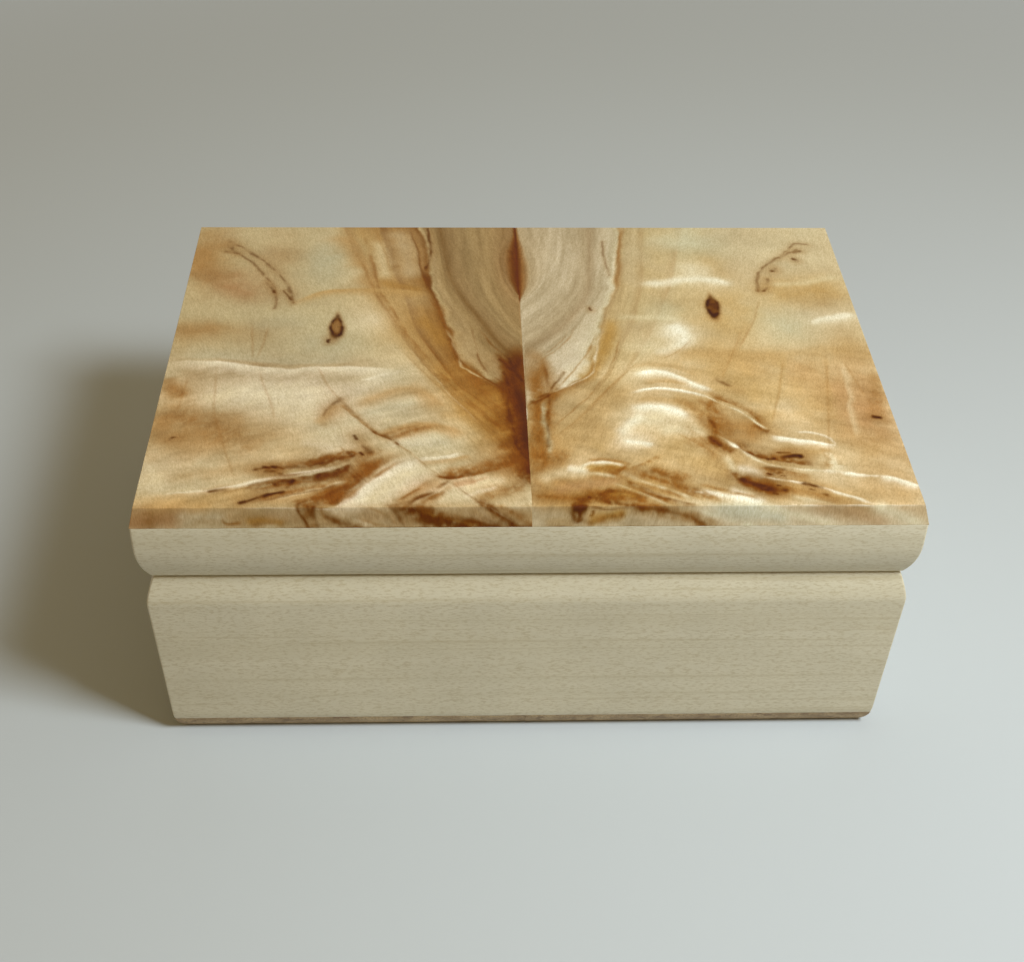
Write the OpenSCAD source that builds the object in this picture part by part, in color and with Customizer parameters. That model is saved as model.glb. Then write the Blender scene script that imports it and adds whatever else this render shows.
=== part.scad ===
// Wooden jewelry box with a hinged lid, a waist groove for the fingers and a sliding tray.
// Millimetres. The origin is the middle of the underside. +X is right, +Y is the hinged back, +Z is up.

/* [Box] */
// Width over the lid rails, the widest part
box_w = 250; // [210:1:320]
// Depth over the lid rails, front to back
box_d = 178; // [140:1:240]
// From the widest plane to the inner face of the walls and rails
wall_t = 12; // [11.5:0.1:16]

/* [Base] */
// Thickness of the two bottom boards
bottom_t = 6.2; // [5:0.1:8]
// Height of the base walls above the bottom boards
wall_h = 65.8; // [58:0.1:90]
// How far the walls stand inside the widest plane where they are fullest
bulge_inset = 1.1; // [0.8:0.1:1.5]
// Height of the bevel that brings the top of the walls inward
top_bevel_h = 9.5; // [8:0.1:10]
// Radius that keeps that bevel slightly full
top_bevel_r = 40; // [32:1:50]
// Angle in degrees at which that bevel breaks from the taper
top_break_deg = 12.5; // [10:0.5:14]
// How far the walls stand inside the widest plane at the end of their taper
taper_inset = 3.1; // [2.5:0.1:4]
// Radius that rolls the foot of the box under
foot_round_r = 15; // [13:0.5:20]
// Height of that rolled foot, over the bottom boards and the lowest part of the walls
foot_round_h = 9; // [8.5:0.1:10]

/* [Lid] */
// Open joint between the walls and the lid rails
lid_gap = 0.8; // [0.6:0.1:1.2]
// Height of the lid rails
rail_h = 22.8; // [19:0.1:30]
// Radius that rolls the underside of the rails inward
rail_round_r = 30; // [24:1:36]
// How far that round brings the bottom of the rails inside the widest plane
rail_waist = 3.6; // [3:0.1:4.2]
// Thickness of the two top boards
top_t = 5.2; // [4:0.1:8]
// Run of the bevel along the front edge of the top
front_bevel = 3.8; // [2:0.1:6]
// Lean of the top's other edges
edge_lean = 1.2; // [0.5:0.1:2]

/* [Hinges] */
// Length of a hinge
hinge_l = 32; // [28:1:40]
// From the end of the box to the middle of a hinge
hinge_end = 53; // [40:1:75]
// From the widest plane of the back to the hinge pin
pin_inset = 3; // [2.8:0.1:3.4]
// Radius of the hinge pin
pin_r = 1; // [0.8:0.05:1.1]
// Radius of a knuckle
knuckle_r = 2.2; // [2:0.05:2.4]
// Thickness of a leaf
leaf_t = 1.8; // [1.5:0.1:2]
// From the pin to the inner edge of a leaf
leaf_w = 7; // [6.6:0.1:7.5]
// From the pin to the tip of the heel that stops the lid
heel_r = 3.6; // [3.3:0.1:3.8]
// How far the lid opens before its heels meet
open_deg = 100; // [92:1:105]
// Radius of a screw's shank
screw_r = 0.8; // [0.6:0.05:0.9]
// Radius of a screw's head
screw_head_r = 1.7; // [1.4:0.05:1.8]
// Length of a screw
screw_l = 9; // [6:0.5:11]
// From the pin to the screws
screw_y = 4.4; // [4.2:0.1:4.6]

/* [Tray] */
// Length of the sliding tray
tray_l = 130; // [90:1:140]
// Height of the tray
tray_h = 24; // [18:0.5:28]
// Thickness of the tray's walls
tray_t = 5; // [4:0.1:7]
// Thickness of the tray's floor
tray_floor_t = 3; // [2:0.1:4]
// From the underside of the tray to its floor
tray_floor_z = 2; // [1.5:0.1:4]
// How deep the floor sits in the tray's walls
groove_d = 2; // [1:0.1:2.5]
// Thickness of the dividers
divider_t = 3; // [2:0.1:4]
// How far the dividers stop short of the tray's rim
divider_drop = 3; // [2:0.1:6]
// Rows of compartments, counted across the depth
tray_rows = 3; // [2:1:4]
// Radius of the finger notch in the tray's right wall
notch_r = 11; // [8:0.5:14]
// Depth of that notch
notch_d = 5; // [3:0.1:6]
// From the top of the base walls to the rim of the tray
tray_drop = 2; // [1:0.1:5]
// Thickness of the runner strips
runner_t = 5; // [4:0.1:8]
// Height of the runner strips
runner_h = 8; // [5:0.5:10]

/* [Lining] */
// Thickness of the felt
felt_t = 1.2; // [0.8:0.1:2]
// From the edge of the felt to the walls around it
felt_edge = 0.3; // [0.1:0.1:1]

/* [Fits] */
// Radial clearance of the pin in the lid's knuckles
pin_fit = 0.05; // [0.02:0.01:0.08]
// Radial clearance of the pin in the base's knuckles
press_fit = 0.01; // [0.01:0.01:0.02]
// Radial clearance of a knuckle in the other leaf and in the wood
knuckle_fit = 0.2; // [0.15:0.05:0.3]
// End clearance of a knuckle on each side
knuckle_end = 0.1; // [0.08:0.01:0.15]
// Clearance of a leaf in its mortise
leaf_fit = 0.1; // [0.05:0.05:0.2]
// Clearance of a screw in its hole
screw_fit = 0.04; // [0.02:0.01:0.06]
// Angle kept between the heels when the lid is fully open
heel_fit_deg = 0.5; // [0.3:0.1:1]
// Clearance of the tray in the box at each side and each end
tray_fit = 0.4; // [0.3:0.1:0.8]
// Clearance of the tray above its runners
ride_fit = 0.1; // [0.05:0.05:0.2]
// Clearance of the dividers in their notches and between the tray's walls
divider_fit = 0.1; // [0.05:0.05:0.2]
// Clearance of the floor in the tray's grooves
groove_fit = 0.05; // [0.02:0.01:0.1]

/* [Hidden] */

// Levels
wall_top = bottom_t + wall_h;
rail_bottom = wall_top + lid_gap;
rail_top = rail_bottom + rail_h;
box_h = rail_top + top_t;
pin_z = wall_top + lid_gap / 2;
pin_y = box_d / 2 - pin_inset;

// Room inside the walls
in_w = box_w - 2 * wall_t;
in_d = box_d - 2 * wall_t;

// The taper runs from the foot to the bulge. The foot round is tangent to it, and the bevel breaks from it
bulge_z = wall_top - top_bevel_h;
taper_run = bulge_inset - taper_inset;
taper_rise = bulge_z - foot_round_h;
taper_l = sqrt(taper_run * taper_run + taper_rise * taper_rise);
normal = [taper_rise / taper_l, -taper_run / taper_l];
function taper_at(z) = taper_inset + taper_run * (z - foot_round_h) / taper_rise;
bevel_normal = [
  normal[0] * cos(top_break_deg) + normal[1] * sin(top_break_deg),
  normal[1] * cos(top_break_deg) - normal[0] * sin(top_break_deg)
];
top_bevel_at = [bulge_inset, bulge_z] + top_bevel_r * bevel_normal;
foot_round_at = [taper_inset, foot_round_h] + foot_round_r * normal;

// The round under a rail starts upright and ends at the waist
rail_round_z = rail_bottom + sqrt(2 * rail_round_r * rail_waist - rail_waist * rail_waist);

// Hinge
hinge_x = box_w / 2 - hinge_end;
seg_l = hinge_l / 5;
heel_deg = open_deg / 2 + heel_fit_deg;
screw_x = hinge_l / 2 - 5;
screw_head_h = screw_head_r - screw_r;
leaf_low = lid_gap / 2 + leaf_t;

// Tray
tray_top = wall_top - tray_drop;
tray_z = tray_top - tray_h;
tray_d = in_d - 2 * tray_fit;
tray_x = -in_w / 2 + tray_fit + tray_l / 2;
tray_in_l = tray_l - 2 * tray_t;
tray_in_d = tray_d - 2 * tray_t;
floor_top = tray_floor_z + tray_floor_t;
divider_z = floor_top + felt_t;
divider_h = tray_h - divider_drop - divider_z;
row_pitch = (tray_in_d + divider_t) / tray_rows;
runner_top = tray_z - ride_fit;

// Colours
pale = [0.80, 0.76, 0.62];
figured = [0.85, 0.70, 0.46];
brown = [0.50, 0.38, 0.22];
tray_wood = [0.72, 0.58, 0.40];
felt = [0.20, 0.26, 0.20];
brass = [0.78, 0.62, 0.30];

// Profiles, drawn with the inset from the widest plane along X and the height along Y

// Waste outside a round: a strip of the given height less the circle
module waste(z, h, at, r) {
  difference() {
    translate([-1, z]) square([at[0] + 1, h]);
    translate(at) circle(r = r, $fn = 96);
  }
}

// Base wall: a straight taper, bevelled inward at the top and rolled under at the foot
module wall_profile() {
  difference() {
    polygon([
      [wall_t, bottom_t], [taper_at(bottom_t), bottom_t],
      [taper_at(wall_top), wall_top], [wall_t, wall_top]
    ]);
    waste(bulge_z - top_bevel_h / 2, 1.5 * top_bevel_h + 1, top_bevel_at, top_bevel_r);
    waste(-1, foot_round_h + 1, foot_round_at, foot_round_r);
  }
}

// Lid rail: upright face over a rolled underside
module rail_profile() {
  difference() {
    translate([0, rail_bottom]) square([wall_t, rail_h]);
    waste(rail_bottom - 1, rail_round_z - rail_bottom + 1, [rail_round_r, rail_round_z], rail_round_r);
  }
}

// Edge of the bottom boards across a span, rolled under at both ends
module bottom_profile(span) {
  difference() {
    translate([-span / 2, 0]) square([span, bottom_t]);
    for (side = [0, 1]) mirror([side, 0]) translate([-span / 2, 0])
      waste(-1, foot_round_h + 1, foot_round_at, foot_round_r);
  }
}

// Tray wall with the groove for the floor
module tray_profile() {
  difference() {
    square([tray_t, tray_h]);
    translate([tray_t - groove_d - groove_fit, tray_floor_z - groove_fit])
      square([groove_d + groove_fit + 1, tray_floor_t + 2 * groove_fit]);
  }
}

// Stands a profile up along X, with the profile's X turned to +Y and its Y to +Z
module along_x(run) {
  rotate([90, 0, 90]) linear_extrude(run, center = true) children();
}

// One side of a mitred frame, turned to its place
module mitred(turn, run, half, t) {
  rotate([0, 0, turn]) translate([0, -half, 0])
    intersection() {
      along_x(run) children();
      linear_extrude(box_h) polygon([[-run / 2, 0], [run / 2, 0], [run / 2 - t, t], [-run / 2 + t, t]]);
    }
}

// Hinge parts, drawn about the pin with +Y to the back

module hinge_at(side) {
  translate([side * hinge_x, pin_y, pin_z]) children();
}

module rod(r, l) {
  rotate([0, 90, 0]) cylinder(r = r, h = l, center = true, $fn = 48);
}

// Heel behind the pin. Its upper face meets the other heel when the lid is open
module heel(grow) {
  k = (heel_r + grow) / heel_r;
  tip = heel_r * [cos(heel_deg), -sin(heel_deg)];
  scale([1, k, k]) along_x(hinge_l + 2 * grow)
    polygon([[0, 0], tip, [tip[0] - 0.8, tip[1] - 0.6], [0, -leaf_low]]);
}

module screw() {
  cylinder(r1 = screw_r, r2 = screw_head_r, h = screw_head_h, $fn = 32);
  translate([0, 0, -(screw_l - screw_head_h - screw_r)])
    cylinder(r = screw_r, h = screw_l - screw_head_h - screw_r, $fn = 32);
  translate([0, 0, -(screw_l - screw_head_h)])
    cylinder(r1 = 0.2, r2 = screw_r, h = screw_r, $fn = 32);
}

module screw_places() {
  for (x = [-screw_x, 0, screw_x])
    translate([x, -screw_y, -lid_gap / 2 - screw_head_h - screw_fit]) children();
}

// A leaf as the base has it. The odd leaf has the knuckles between the even one's
module leaf(odd) {
  bore = pin_r + (odd ? pin_fit : press_fit);
  difference() {
    union() {
      translate([-hinge_l / 2, -leaf_w, -leaf_low]) cube([hinge_l, leaf_w, leaf_t]);
      heel(0);
      for (i = [odd ? 1 : 0:2:4])
        translate([(i - 2) * seg_l, 0, 0]) rod(knuckle_r, seg_l - 2 * knuckle_end);
    }
    for (i = [odd ? 0 : 1:2:4])
      translate([(i - 2) * seg_l, 0, 0]) rod(knuckle_r + knuckle_fit, seg_l + (i % 4 == 0 ? 1 : 0));
    rod(bore, hinge_l + 1);
    screw_places() {
      translate([0, 0, screw_fit])
        cylinder(r1 = screw_r + screw_fit, r2 = screw_head_r + screw_fit, h = screw_head_h, $fn = 32);
      translate([0, 0, -leaf_t]) cylinder(r = screw_r + screw_fit, h = leaf_t + 2 * screw_fit, $fn = 32);
    }
  }
}

// Wood taken out for a leaf, its knuckles, its heel and its screws
module leaf_mortise() {
  m = hinge_l + 2 * leaf_fit;
  translate([-m / 2, -leaf_w - leaf_fit, -leaf_low]) cube([m, leaf_w + leaf_fit, leaf_low]);
  rod(knuckle_r + knuckle_fit, m);
  heel(knuckle_fit);
  screw_places()
    translate([0, 0, -screw_l]) cylinder(r = screw_r + screw_fit, h = screw_l, $fn = 32);
}

// Base

module base_front_wall() {
  color(pale) mitred(0, box_w, box_d / 2, wall_t) wall_profile();
}

module base_back_wall() {
  color(pale) difference() {
    mitred(180, box_w, box_d / 2, wall_t) wall_profile();
    for (side = [-1, 1]) hinge_at(side) leaf_mortise();
  }
}

module base_left_wall() {
  color(pale) mitred(-90, box_d, box_w / 2, wall_t) wall_profile();
}

module base_right_wall() {
  color(pale) mitred(90, box_d, box_w / 2, wall_t) wall_profile();
}

module bottom_board(side) {
  color(brown) intersection() {
    along_x(box_w) bottom_profile(box_d);
    rotate([90, 0, 0]) linear_extrude(box_d, center = true) bottom_profile(box_w);
    translate([side * box_w / 4, 0, bottom_t / 2]) cube([box_w / 2, box_d, bottom_t], center = true);
  }
}

module bottom_board_left() {
  bottom_board(-1);
}

module bottom_board_right() {
  bottom_board(1);
}

module felt_sheet(z) {
  color(felt) translate([0, 0, z + felt_t / 2])
    cube([in_w - 2 * felt_edge, in_d - 2 * felt_edge, felt_t], center = true);
}

module base_lining() {
  felt_sheet(bottom_t);
}

module tray_runner(side) {
  color(tray_wood) translate([0, side * (in_d - runner_t) / 2, runner_top - runner_h / 2])
    cube([in_w, runner_t, runner_h], center = true);
}

module tray_runner_front() {
  tray_runner(-1);
}

module tray_runner_back() {
  tray_runner(1);
}

module left_hinge_lower_leaf() {
  color(brass) hinge_at(-1) leaf(false);
}

module right_hinge_lower_leaf() {
  color(brass) hinge_at(1) leaf(false);
}

module left_hinge_pin() {
  color(brass) hinge_at(-1) rod(pin_r, hinge_l);
}

module right_hinge_pin() {
  color(brass) hinge_at(1) rod(pin_r, hinge_l);
}

module hinge_lower_screws() {
  color(brass) for (side = [-1, 1]) hinge_at(side) screw_places() screw();
}

// Lid

module lid_front_rail() {
  color(pale) mitred(0, box_w, box_d / 2, wall_t) rail_profile();
}

module lid_back_rail() {
  color(pale) difference() {
    mitred(180, box_w, box_d / 2, wall_t) rail_profile();
    for (side = [-1, 1]) hinge_at(side) mirror([0, 0, 1]) leaf_mortise();
  }
}

module lid_left_rail() {
  color(pale) mitred(-90, box_d, box_w / 2, wall_t) rail_profile();
}

module lid_right_rail() {
  color(pale) mitred(90, box_d, box_w / 2, wall_t) rail_profile();
}

module top_board_right() {
  color(figured) intersection() {
    along_x(box_w) polygon([
      [-box_d / 2, rail_top], [box_d / 2, rail_top],
      [box_d / 2 - edge_lean, box_h], [-box_d / 2 + front_bevel, box_h]
    ]);
    rotate([90, 0, 0]) linear_extrude(box_d, center = true)
      polygon([[0, rail_top], [box_w / 2, rail_top], [box_w / 2 - edge_lean, box_h], [0, box_h]]);
  }
}

module top_board_left() {
  mirror([1, 0, 0]) top_board_right();
}

module lid_lining() {
  felt_sheet(rail_top - felt_t);
}

module left_hinge_upper_leaf() {
  color(brass) hinge_at(-1) mirror([0, 0, 1]) leaf(true);
}

module right_hinge_upper_leaf() {
  color(brass) hinge_at(1) mirror([0, 0, 1]) leaf(true);
}

module hinge_upper_screws() {
  color(brass) for (side = [-1, 1]) hinge_at(side) mirror([0, 0, 1]) screw_places() screw();
}

// Tray

module tray_at() {
  translate([tray_x, 0, tray_z]) children();
}

module tray_front_wall() {
  color(tray_wood) tray_at() mitred(0, tray_l, tray_d / 2, tray_t) tray_profile();
}

module tray_back_wall() {
  color(tray_wood) tray_at() mitred(180, tray_l, tray_d / 2, tray_t) tray_profile();
}

module tray_left_wall() {
  color(tray_wood) tray_at() mitred(-90, tray_d, tray_l / 2, tray_t) tray_profile();
}

module tray_right_wall() {
  color(tray_wood) tray_at() difference() {
    mitred(90, tray_d, tray_l / 2, tray_t) tray_profile();
    translate([tray_l / 2, 0, tray_h + notch_r - notch_d]) rod(notch_r, 4 * tray_t);
  }
}

module tray_floor() {
  color(tray_wood) tray_at() translate([0, 0, tray_floor_z + tray_floor_t / 2])
    cube([tray_in_l + 2 * groove_d, tray_in_d + 2 * groove_d, tray_floor_t], center = true);
}

module tray_lining() {
  color(felt) tray_at() translate([0, 0, floor_top + felt_t / 2])
    cube([tray_in_l - 2 * felt_edge, tray_in_d - 2 * felt_edge, felt_t], center = true);
}

// Runs from front to back, notched from below over each long divider
module tray_cross_divider() {
  slot = divider_t + 2 * divider_fit;
  color(tray_wood) tray_at() difference() {
    translate([0, 0, divider_z + divider_h / 2])
      cube([divider_t, tray_in_d - 2 * divider_fit, divider_h], center = true);
    for (i = [1:tray_rows - 1])
      translate([0, -tray_in_d / 2 + i * row_pitch - divider_t / 2, divider_z + divider_h / 4])
        cube([3 * divider_t, slot, divider_h / 2 + divider_fit], center = true);
  }
}

// Run from left to right, notched from above
module tray_long_dividers() {
  slot = divider_t + 2 * divider_fit;
  color(tray_wood) tray_at()
    for (i = [1:tray_rows - 1])
      translate([0, -tray_in_d / 2 + i * row_pitch - divider_t / 2, 0])
        difference() {
          translate([0, 0, divider_z + divider_h / 2])
            cube([tray_in_l - 2 * divider_fit, divider_t, divider_h], center = true);
          translate([0, 0, divider_z + 3 * divider_h / 4])
            cube([slot, 3 * divider_t, divider_h / 2 + divider_fit], center = true);
        }
}

base_front_wall();
base_back_wall();
base_left_wall();
base_right_wall();
bottom_board_left();
bottom_board_right();
base_lining();
tray_runner_front();
tray_runner_back();
left_hinge_lower_leaf();
right_hinge_lower_leaf();
left_hinge_pin();
right_hinge_pin();
hinge_lower_screws();
lid_front_rail();
lid_back_rail();
lid_left_rail();
lid_right_rail();
top_board_left();
top_board_right();
lid_lining();
left_hinge_upper_leaf();
right_hinge_upper_leaf();
hinge_upper_screws();
tray_front_wall();
tray_back_wall();
tray_left_wall();
tray_right_wall();
tray_floor();
tray_lining();
tray_cross_divider();
tray_long_dividers();
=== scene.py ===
# %% [markdown]
# # A jewelry box with a book-matched lid
#
# The box is a shallow wooden case with a hinged lid, a sliding tray and felt linings. Its sides are pale
# straight-grained boards joined with mitres. The lid's top is one figured plank sawn in two and opened like a
# book, so each half is nearly the mirror of the other. The CAD model gives every piece its place, and this
# lesson gives the pieces their looks.
#
# All lengths below are millimetres in the frame of the CAD: X to the right, Y to the hinged back and Z up.

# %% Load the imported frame
import math

import bmesh
import bpy
import numpy as np
from mathutils import Matrix, Vector


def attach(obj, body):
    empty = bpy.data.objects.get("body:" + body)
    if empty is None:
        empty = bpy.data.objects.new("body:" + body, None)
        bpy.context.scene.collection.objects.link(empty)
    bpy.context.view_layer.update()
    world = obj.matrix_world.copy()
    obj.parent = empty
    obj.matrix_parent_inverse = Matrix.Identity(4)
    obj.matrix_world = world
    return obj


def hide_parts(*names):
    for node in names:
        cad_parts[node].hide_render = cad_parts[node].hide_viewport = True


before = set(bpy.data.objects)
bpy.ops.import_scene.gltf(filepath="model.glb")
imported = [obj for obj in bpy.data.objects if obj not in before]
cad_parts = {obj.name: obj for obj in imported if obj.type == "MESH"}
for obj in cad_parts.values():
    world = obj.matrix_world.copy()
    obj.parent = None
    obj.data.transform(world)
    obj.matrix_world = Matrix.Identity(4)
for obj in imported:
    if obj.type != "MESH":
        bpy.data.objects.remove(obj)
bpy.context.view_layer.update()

# %% [markdown]
# ## Sizes shared with the CAD
#
# The names are close to those of the CAD source, so a reader can put the two files side by side. The wall and
# rail profiles are drawn with `s`, the inset from the widest plane of the box, and `z`, the height. A round is
# `(s of its centre, z of its centre, radius)`.

# %% Sizes
BOX_W, BOX_D, BOX_H = 250.0, 178.0, 100.8
WALL_T, BOTTOM_T, WALL_TOP = 12.0, 6.2, 72.0
RAIL_BOTTOM, RAIL_TOP = 72.8, 95.6
TAPER_FOOT, TAPER_BULGE = (3.1, 9.0), (1.1, 62.5)
TOP_BEVEL, FOOT_ROUND, RAIL_ROUND = (40.448, 55.307, 40.0), (18.090, 9.560, 15.0), (30.0, 87.049, 30.0)
RAIL_WAIST, FRONT_BEVEL, EDGE_LEAN = 3.6, 3.8, 1.2
HINGE_X, PIN_Y, PIN_Z, HINGE_L = 72.0, 86.0, 72.4, 32.0
SCREW_IN, SCREW_STEP, SCREW_SINK = 4.4, 11, 0.44
TRAY_X, TRAY_Z, TRAY_L, TRAY_D, TRAY_H, TRAY_T = -47.6, 46.0, 130.0, 153.2, 24.0, 5.0
NOTCH_R, NOTCH_D = 11.0, 5.0
GROOVE_LOW, GROOVE_HIGH, GROOVE_DEEP = 1.95, 5.05, 2.05
FELT_T, FELT_W, FELT_D = 1.2, 225.4, 153.4
TRAY_FELT_W, TRAY_FELT_D, TRAY_FELT_Z = 119.4, 142.6, 51.0
pieces = {}
print("box", BOX_W, "x", BOX_D, "x", BOX_H, "mm")

# %% [markdown]
# ## Two ways of making a surface
#
# Nearly every wooden piece here is one of two shapes. A rail or wall is a *profile carried along a path*, just
# as a moulding plane carries its outline down a board. A panel is a *height over a plan*, just as a hand plane
# lowers the edges of a flat board. Both are written as whole numpy arrays, and one helper turns the arrays into
# an object.

# %% Mesh helpers
def new_mesh(name, points, faces):
    """Mesh from points in millimetres, with all its faces turned outward."""
    mesh = bpy.data.meshes.new(name)
    mesh.from_pydata((np.asarray(points) / 1000).tolist(), [], faces)
    work = bmesh.new()
    work.from_mesh(mesh)
    bmesh.ops.recalc_face_normals(work, faces=work.faces)
    work.to_mesh(mesh)
    work.free()
    return mesh


def make_piece(name, points, faces, body, nodes, slot, material, fields=None):
    """Object from points in millimetres. It rides on a body and stands in for the CAD nodes named. A field is a
    vector per point, kept on the mesh as an attribute."""
    mesh = new_mesh(name, points, faces)
    for key, values in (fields or {}).items():
        layer = mesh.attributes.new(key, "FLOAT_VECTOR", "POINT")
        layer.data.foreach_set("vector", np.asarray(values, np.float32).ravel())
    return register(name, mesh, body, nodes, material)


def register(name, mesh, body, nodes, material, sharp=32):
    """Link a finished mesh, shade it smooth between its arrises, give it its material, hang it on its body's empty
    and hide the CAD nodes that it replaces.
    """
    mesh.polygons.foreach_set("use_smooth", np.ones(len(mesh.polygons), bool))
    mesh.set_sharp_from_angle(angle=math.radians(sharp))
    piece = bpy.data.objects.new(name, mesh)
    bpy.context.scene.collection.objects.link(piece)
    mesh.materials.clear()
    mesh.materials.append(material)
    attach(piece, body)
    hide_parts(*nodes)
    pieces[name] = piece
    return piece


def carried(loops):
    """Closed shell from a stack of closed loops: loops[i, j] is point j of section i. Quads join neighbours, and an
    end face closes each end."""
    m, n = loops.shape[:2]
    i, j = (a.ravel() for a in np.meshgrid(np.arange(m - 1), np.arange(n), indexing="ij"))
    k = (j + 1) % n
    quads = np.stack([i * n + j, i * n + k, (i + 1) * n + k, (i + 1) * n + j], -1).tolist()
    return loops.reshape(-1, 3), quads + [list(range(n)), list(range((m - 1) * n, m * n))]


def over_plan(x, y, z, flat):
    """Closed board from a plan grid: z is the height of the worked face at x, y. The other face lies at `flat`."""
    m, n = z.shape
    grid = np.arange(m * n).reshape(m, n)
    quads = np.stack([grid[:-1, :-1], grid[1:, :-1], grid[1:, 1:], grid[:-1, 1:]], -1).reshape(-1, 4)
    rim = np.concatenate([grid[0], grid[1:, -1], grid[-1, -2::-1], grid[-2:0:-1, 0]])
    below = m * n + np.arange(len(rim))
    sides = np.stack([rim, np.roll(rim, -1), np.roll(below, -1), below], -1)
    points = np.stack([x, y, z], -1).reshape(-1, 3)
    lower = points[rim] * [1, 1, 0] + [0, 0, flat]
    return np.vstack([points, lower]), quads.tolist() + sides.tolist() + [below.tolist()]


def turned(points, degrees):
    """Points turned about the upright axis."""
    c, s = math.cos(math.radians(degrees)), math.sin(math.radians(degrees))
    return points @ np.array([[c, s, 0], [-s, c, 0], [0, 0, 1]])


def eased(before, corner, after, reach, steps=5):
    """Eased corner of an outline: a quadratic curve from `reach` before the corner to `reach` after it."""
    p, c, q = (np.asarray(v, float) for v in (before, corner, after))
    a = c + (p - c) / np.linalg.norm(p - c) * reach
    b = c + (q - c) / np.linalg.norm(q - c) * reach
    t = np.linspace(0, 1, steps)[:, None]
    return (1 - t) ** 2 * a + 2 * t * (1 - t) * c + t ** 2 * b


def round_face(circle, z):
    """Inset of a rolled face at height z: the circle's centre less the half chord at that height."""
    cs, cz, r = circle
    return np.stack([cs - np.sqrt(r * r - (z - cz) ** 2), z], -1)


print("mesh helpers ready")

# %% [markdown]
# ## Wood, felt and brass as shader groups
#
# Shader trees are easier to read when each node is one short call. The helpers below add a node, set or link
# its sockets and hand back the socket that the next node needs.

# %% Node helpers
def to_linear(v):
    """Linear light from the values of a colour picker, taken from 0 to 1."""
    return np.where(v <= 0.04045, v / 12.92, ((v + 0.055) / 1.055) ** 2.4)


def srgb(r, g, b):
    """Linear colour from the three numbers a colour picker shows (0 to 255)."""
    return (*to_linear(np.array([r, g, b]) / 255).tolist(), 1.0)


def add(tree, kind, values=None, **settings):
    """New node with its settings, its socket values and its links (a socket given as a value is linked)."""
    node = tree.nodes.new(kind)
    for key, value in settings.items():
        setattr(node, key, value)
    for key, value in (values or {}).items():
        if isinstance(value, bpy.types.NodeSocket):
            tree.links.new(value, node.inputs[key])
        else:
            node.inputs[key].default_value = value
    return node


def set_values(shader, values):
    """Constants on a shader's own sockets, by their names."""
    for key, value in values.items():
        shader.inputs[key].default_value = value


def maths(tree, operation, a, b=0.0):
    """One sum on two values, such as ADD or MULTIPLY."""
    return add(tree, "ShaderNodeMath", {0: a, 1: b}, operation=operation).outputs[0]


def blend(tree, factor, a, b, kind="MIX"):
    """Colour that goes from a to b as the factor goes from 0 to 1, or their product with kind MULTIPLY."""
    node = add(tree, "ShaderNodeMix", {0: factor, 6: a, 7: b}, data_type="RGBA", blend_type=kind, clamp_factor=True)
    return node.outputs[2]


def spread(tree, value, low, high, to_low=0.0, to_high=1.0, smooth=True):
    """Value stretched so that low gives to_low and high gives to_high, eased at both ends if smooth."""
    return add(tree, "ShaderNodeMapRange", {0: value, 1: low, 2: high, 3: to_low, 4: to_high},
               interpolation_type="SMOOTHSTEP" if smooth else "LINEAR").outputs[0]


def noise(tree, place, scale, detail=2.0, rough=0.5):
    """Noise over a place that is first stretched by three scales, one per axis, in turns per millimetre."""
    stretched = add(tree, "ShaderNodeVectorMath", {0: place, 1: scale}, operation="MULTIPLY").outputs[0]
    return add(tree, "ShaderNodeTexNoise", {"Vector": stretched, "Scale": 1.0, "Detail": detail,
                                            "Roughness": rough}).outputs[0]


def new_group(name, inputs, outputs):
    """Node group with named sockets: its tree, the sockets that bring values in and those that take them out."""
    tree = bpy.data.node_groups.new(name, "ShaderNodeTree")
    for title, kind, start in inputs:
        socket = tree.interface.new_socket(title, in_out="INPUT", socket_type=kind)
        if start is not None:
            socket.default_value = start
    for title, kind in outputs:
        tree.interface.new_socket(title, in_out="OUTPUT", socket_type=kind)
    return tree, tree.nodes.new("NodeGroupInput").outputs, tree.nodes.new("NodeGroupOutput").inputs


def new_material(name):
    """Material with an empty tree, a Principled shader and an output."""
    material = bpy.data.materials.new(name)
    material.use_nodes = True
    tree = material.node_tree
    tree.nodes.clear()
    shader = tree.nodes.new("ShaderNodeBsdfPrincipled")
    tree.links.new(shader.outputs[0], tree.nodes.new("ShaderNodeOutputMaterial").inputs[0])
    return material, tree, shader


def place_mm(tree, along="X", shift=(0, 0, 0)):
    """Object coordinates in millimetres, turned so that the grain runs along the first axis."""
    place = add(tree, "ShaderNodeTexCoord").outputs["Object"]
    turn = (0, 0, math.radians(-90)) if along == "Y" else (0, 0, 0)
    return add(tree, "ShaderNodeMapping", {"Vector": place, "Location": shift, "Rotation": turn,
                                           "Scale": (1000, 1000, 1000)}).outputs[0]


print("node helpers ready")

# %% [markdown]
# Grain is the same idea on every board: long soft streaks, short fibres, a few dark growth lines and a faint
# cross ripple. It is written once as a node group that gives values only. The three scales of each noise count
# its cells per millimetre, first along the grain and then across it, so a small first number draws a long
# streak.

# %% The long grain group
GRAIN_VALUES = ("Streak", "Fibre", "Line", "Ripple", "Height")
GRAIN, ins, outs = new_group("long_grain", [("Place", "NodeSocketVector", None)],
                             [(title, "NodeSocketFloat") for title in GRAIN_VALUES])
streak = noise(GRAIN, ins["Place"], (0.004, 0.11, 0.15), 4.0, 0.55)
fibre = noise(GRAIN, ins["Place"], (0.5, 1.7, 1.7), 3.0, 0.7)
line = noise(GRAIN, ins["Place"], (0.0045, 0.3, 0.4))
ripple = noise(GRAIN, ins["Place"], (0.05, 0.04, 0.04))
GRAIN.links.new(streak, outs["Streak"])
GRAIN.links.new(fibre, outs["Fibre"])
GRAIN.links.new(spread(GRAIN, line, 0.585, 0.66), outs["Line"])
GRAIN.links.new(ripple, outs["Ripple"])
GRAIN.links.new(maths(GRAIN, "ADD", fibre, maths(GRAIN, "MULTIPLY", streak, 0.3)), outs["Height"])
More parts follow.
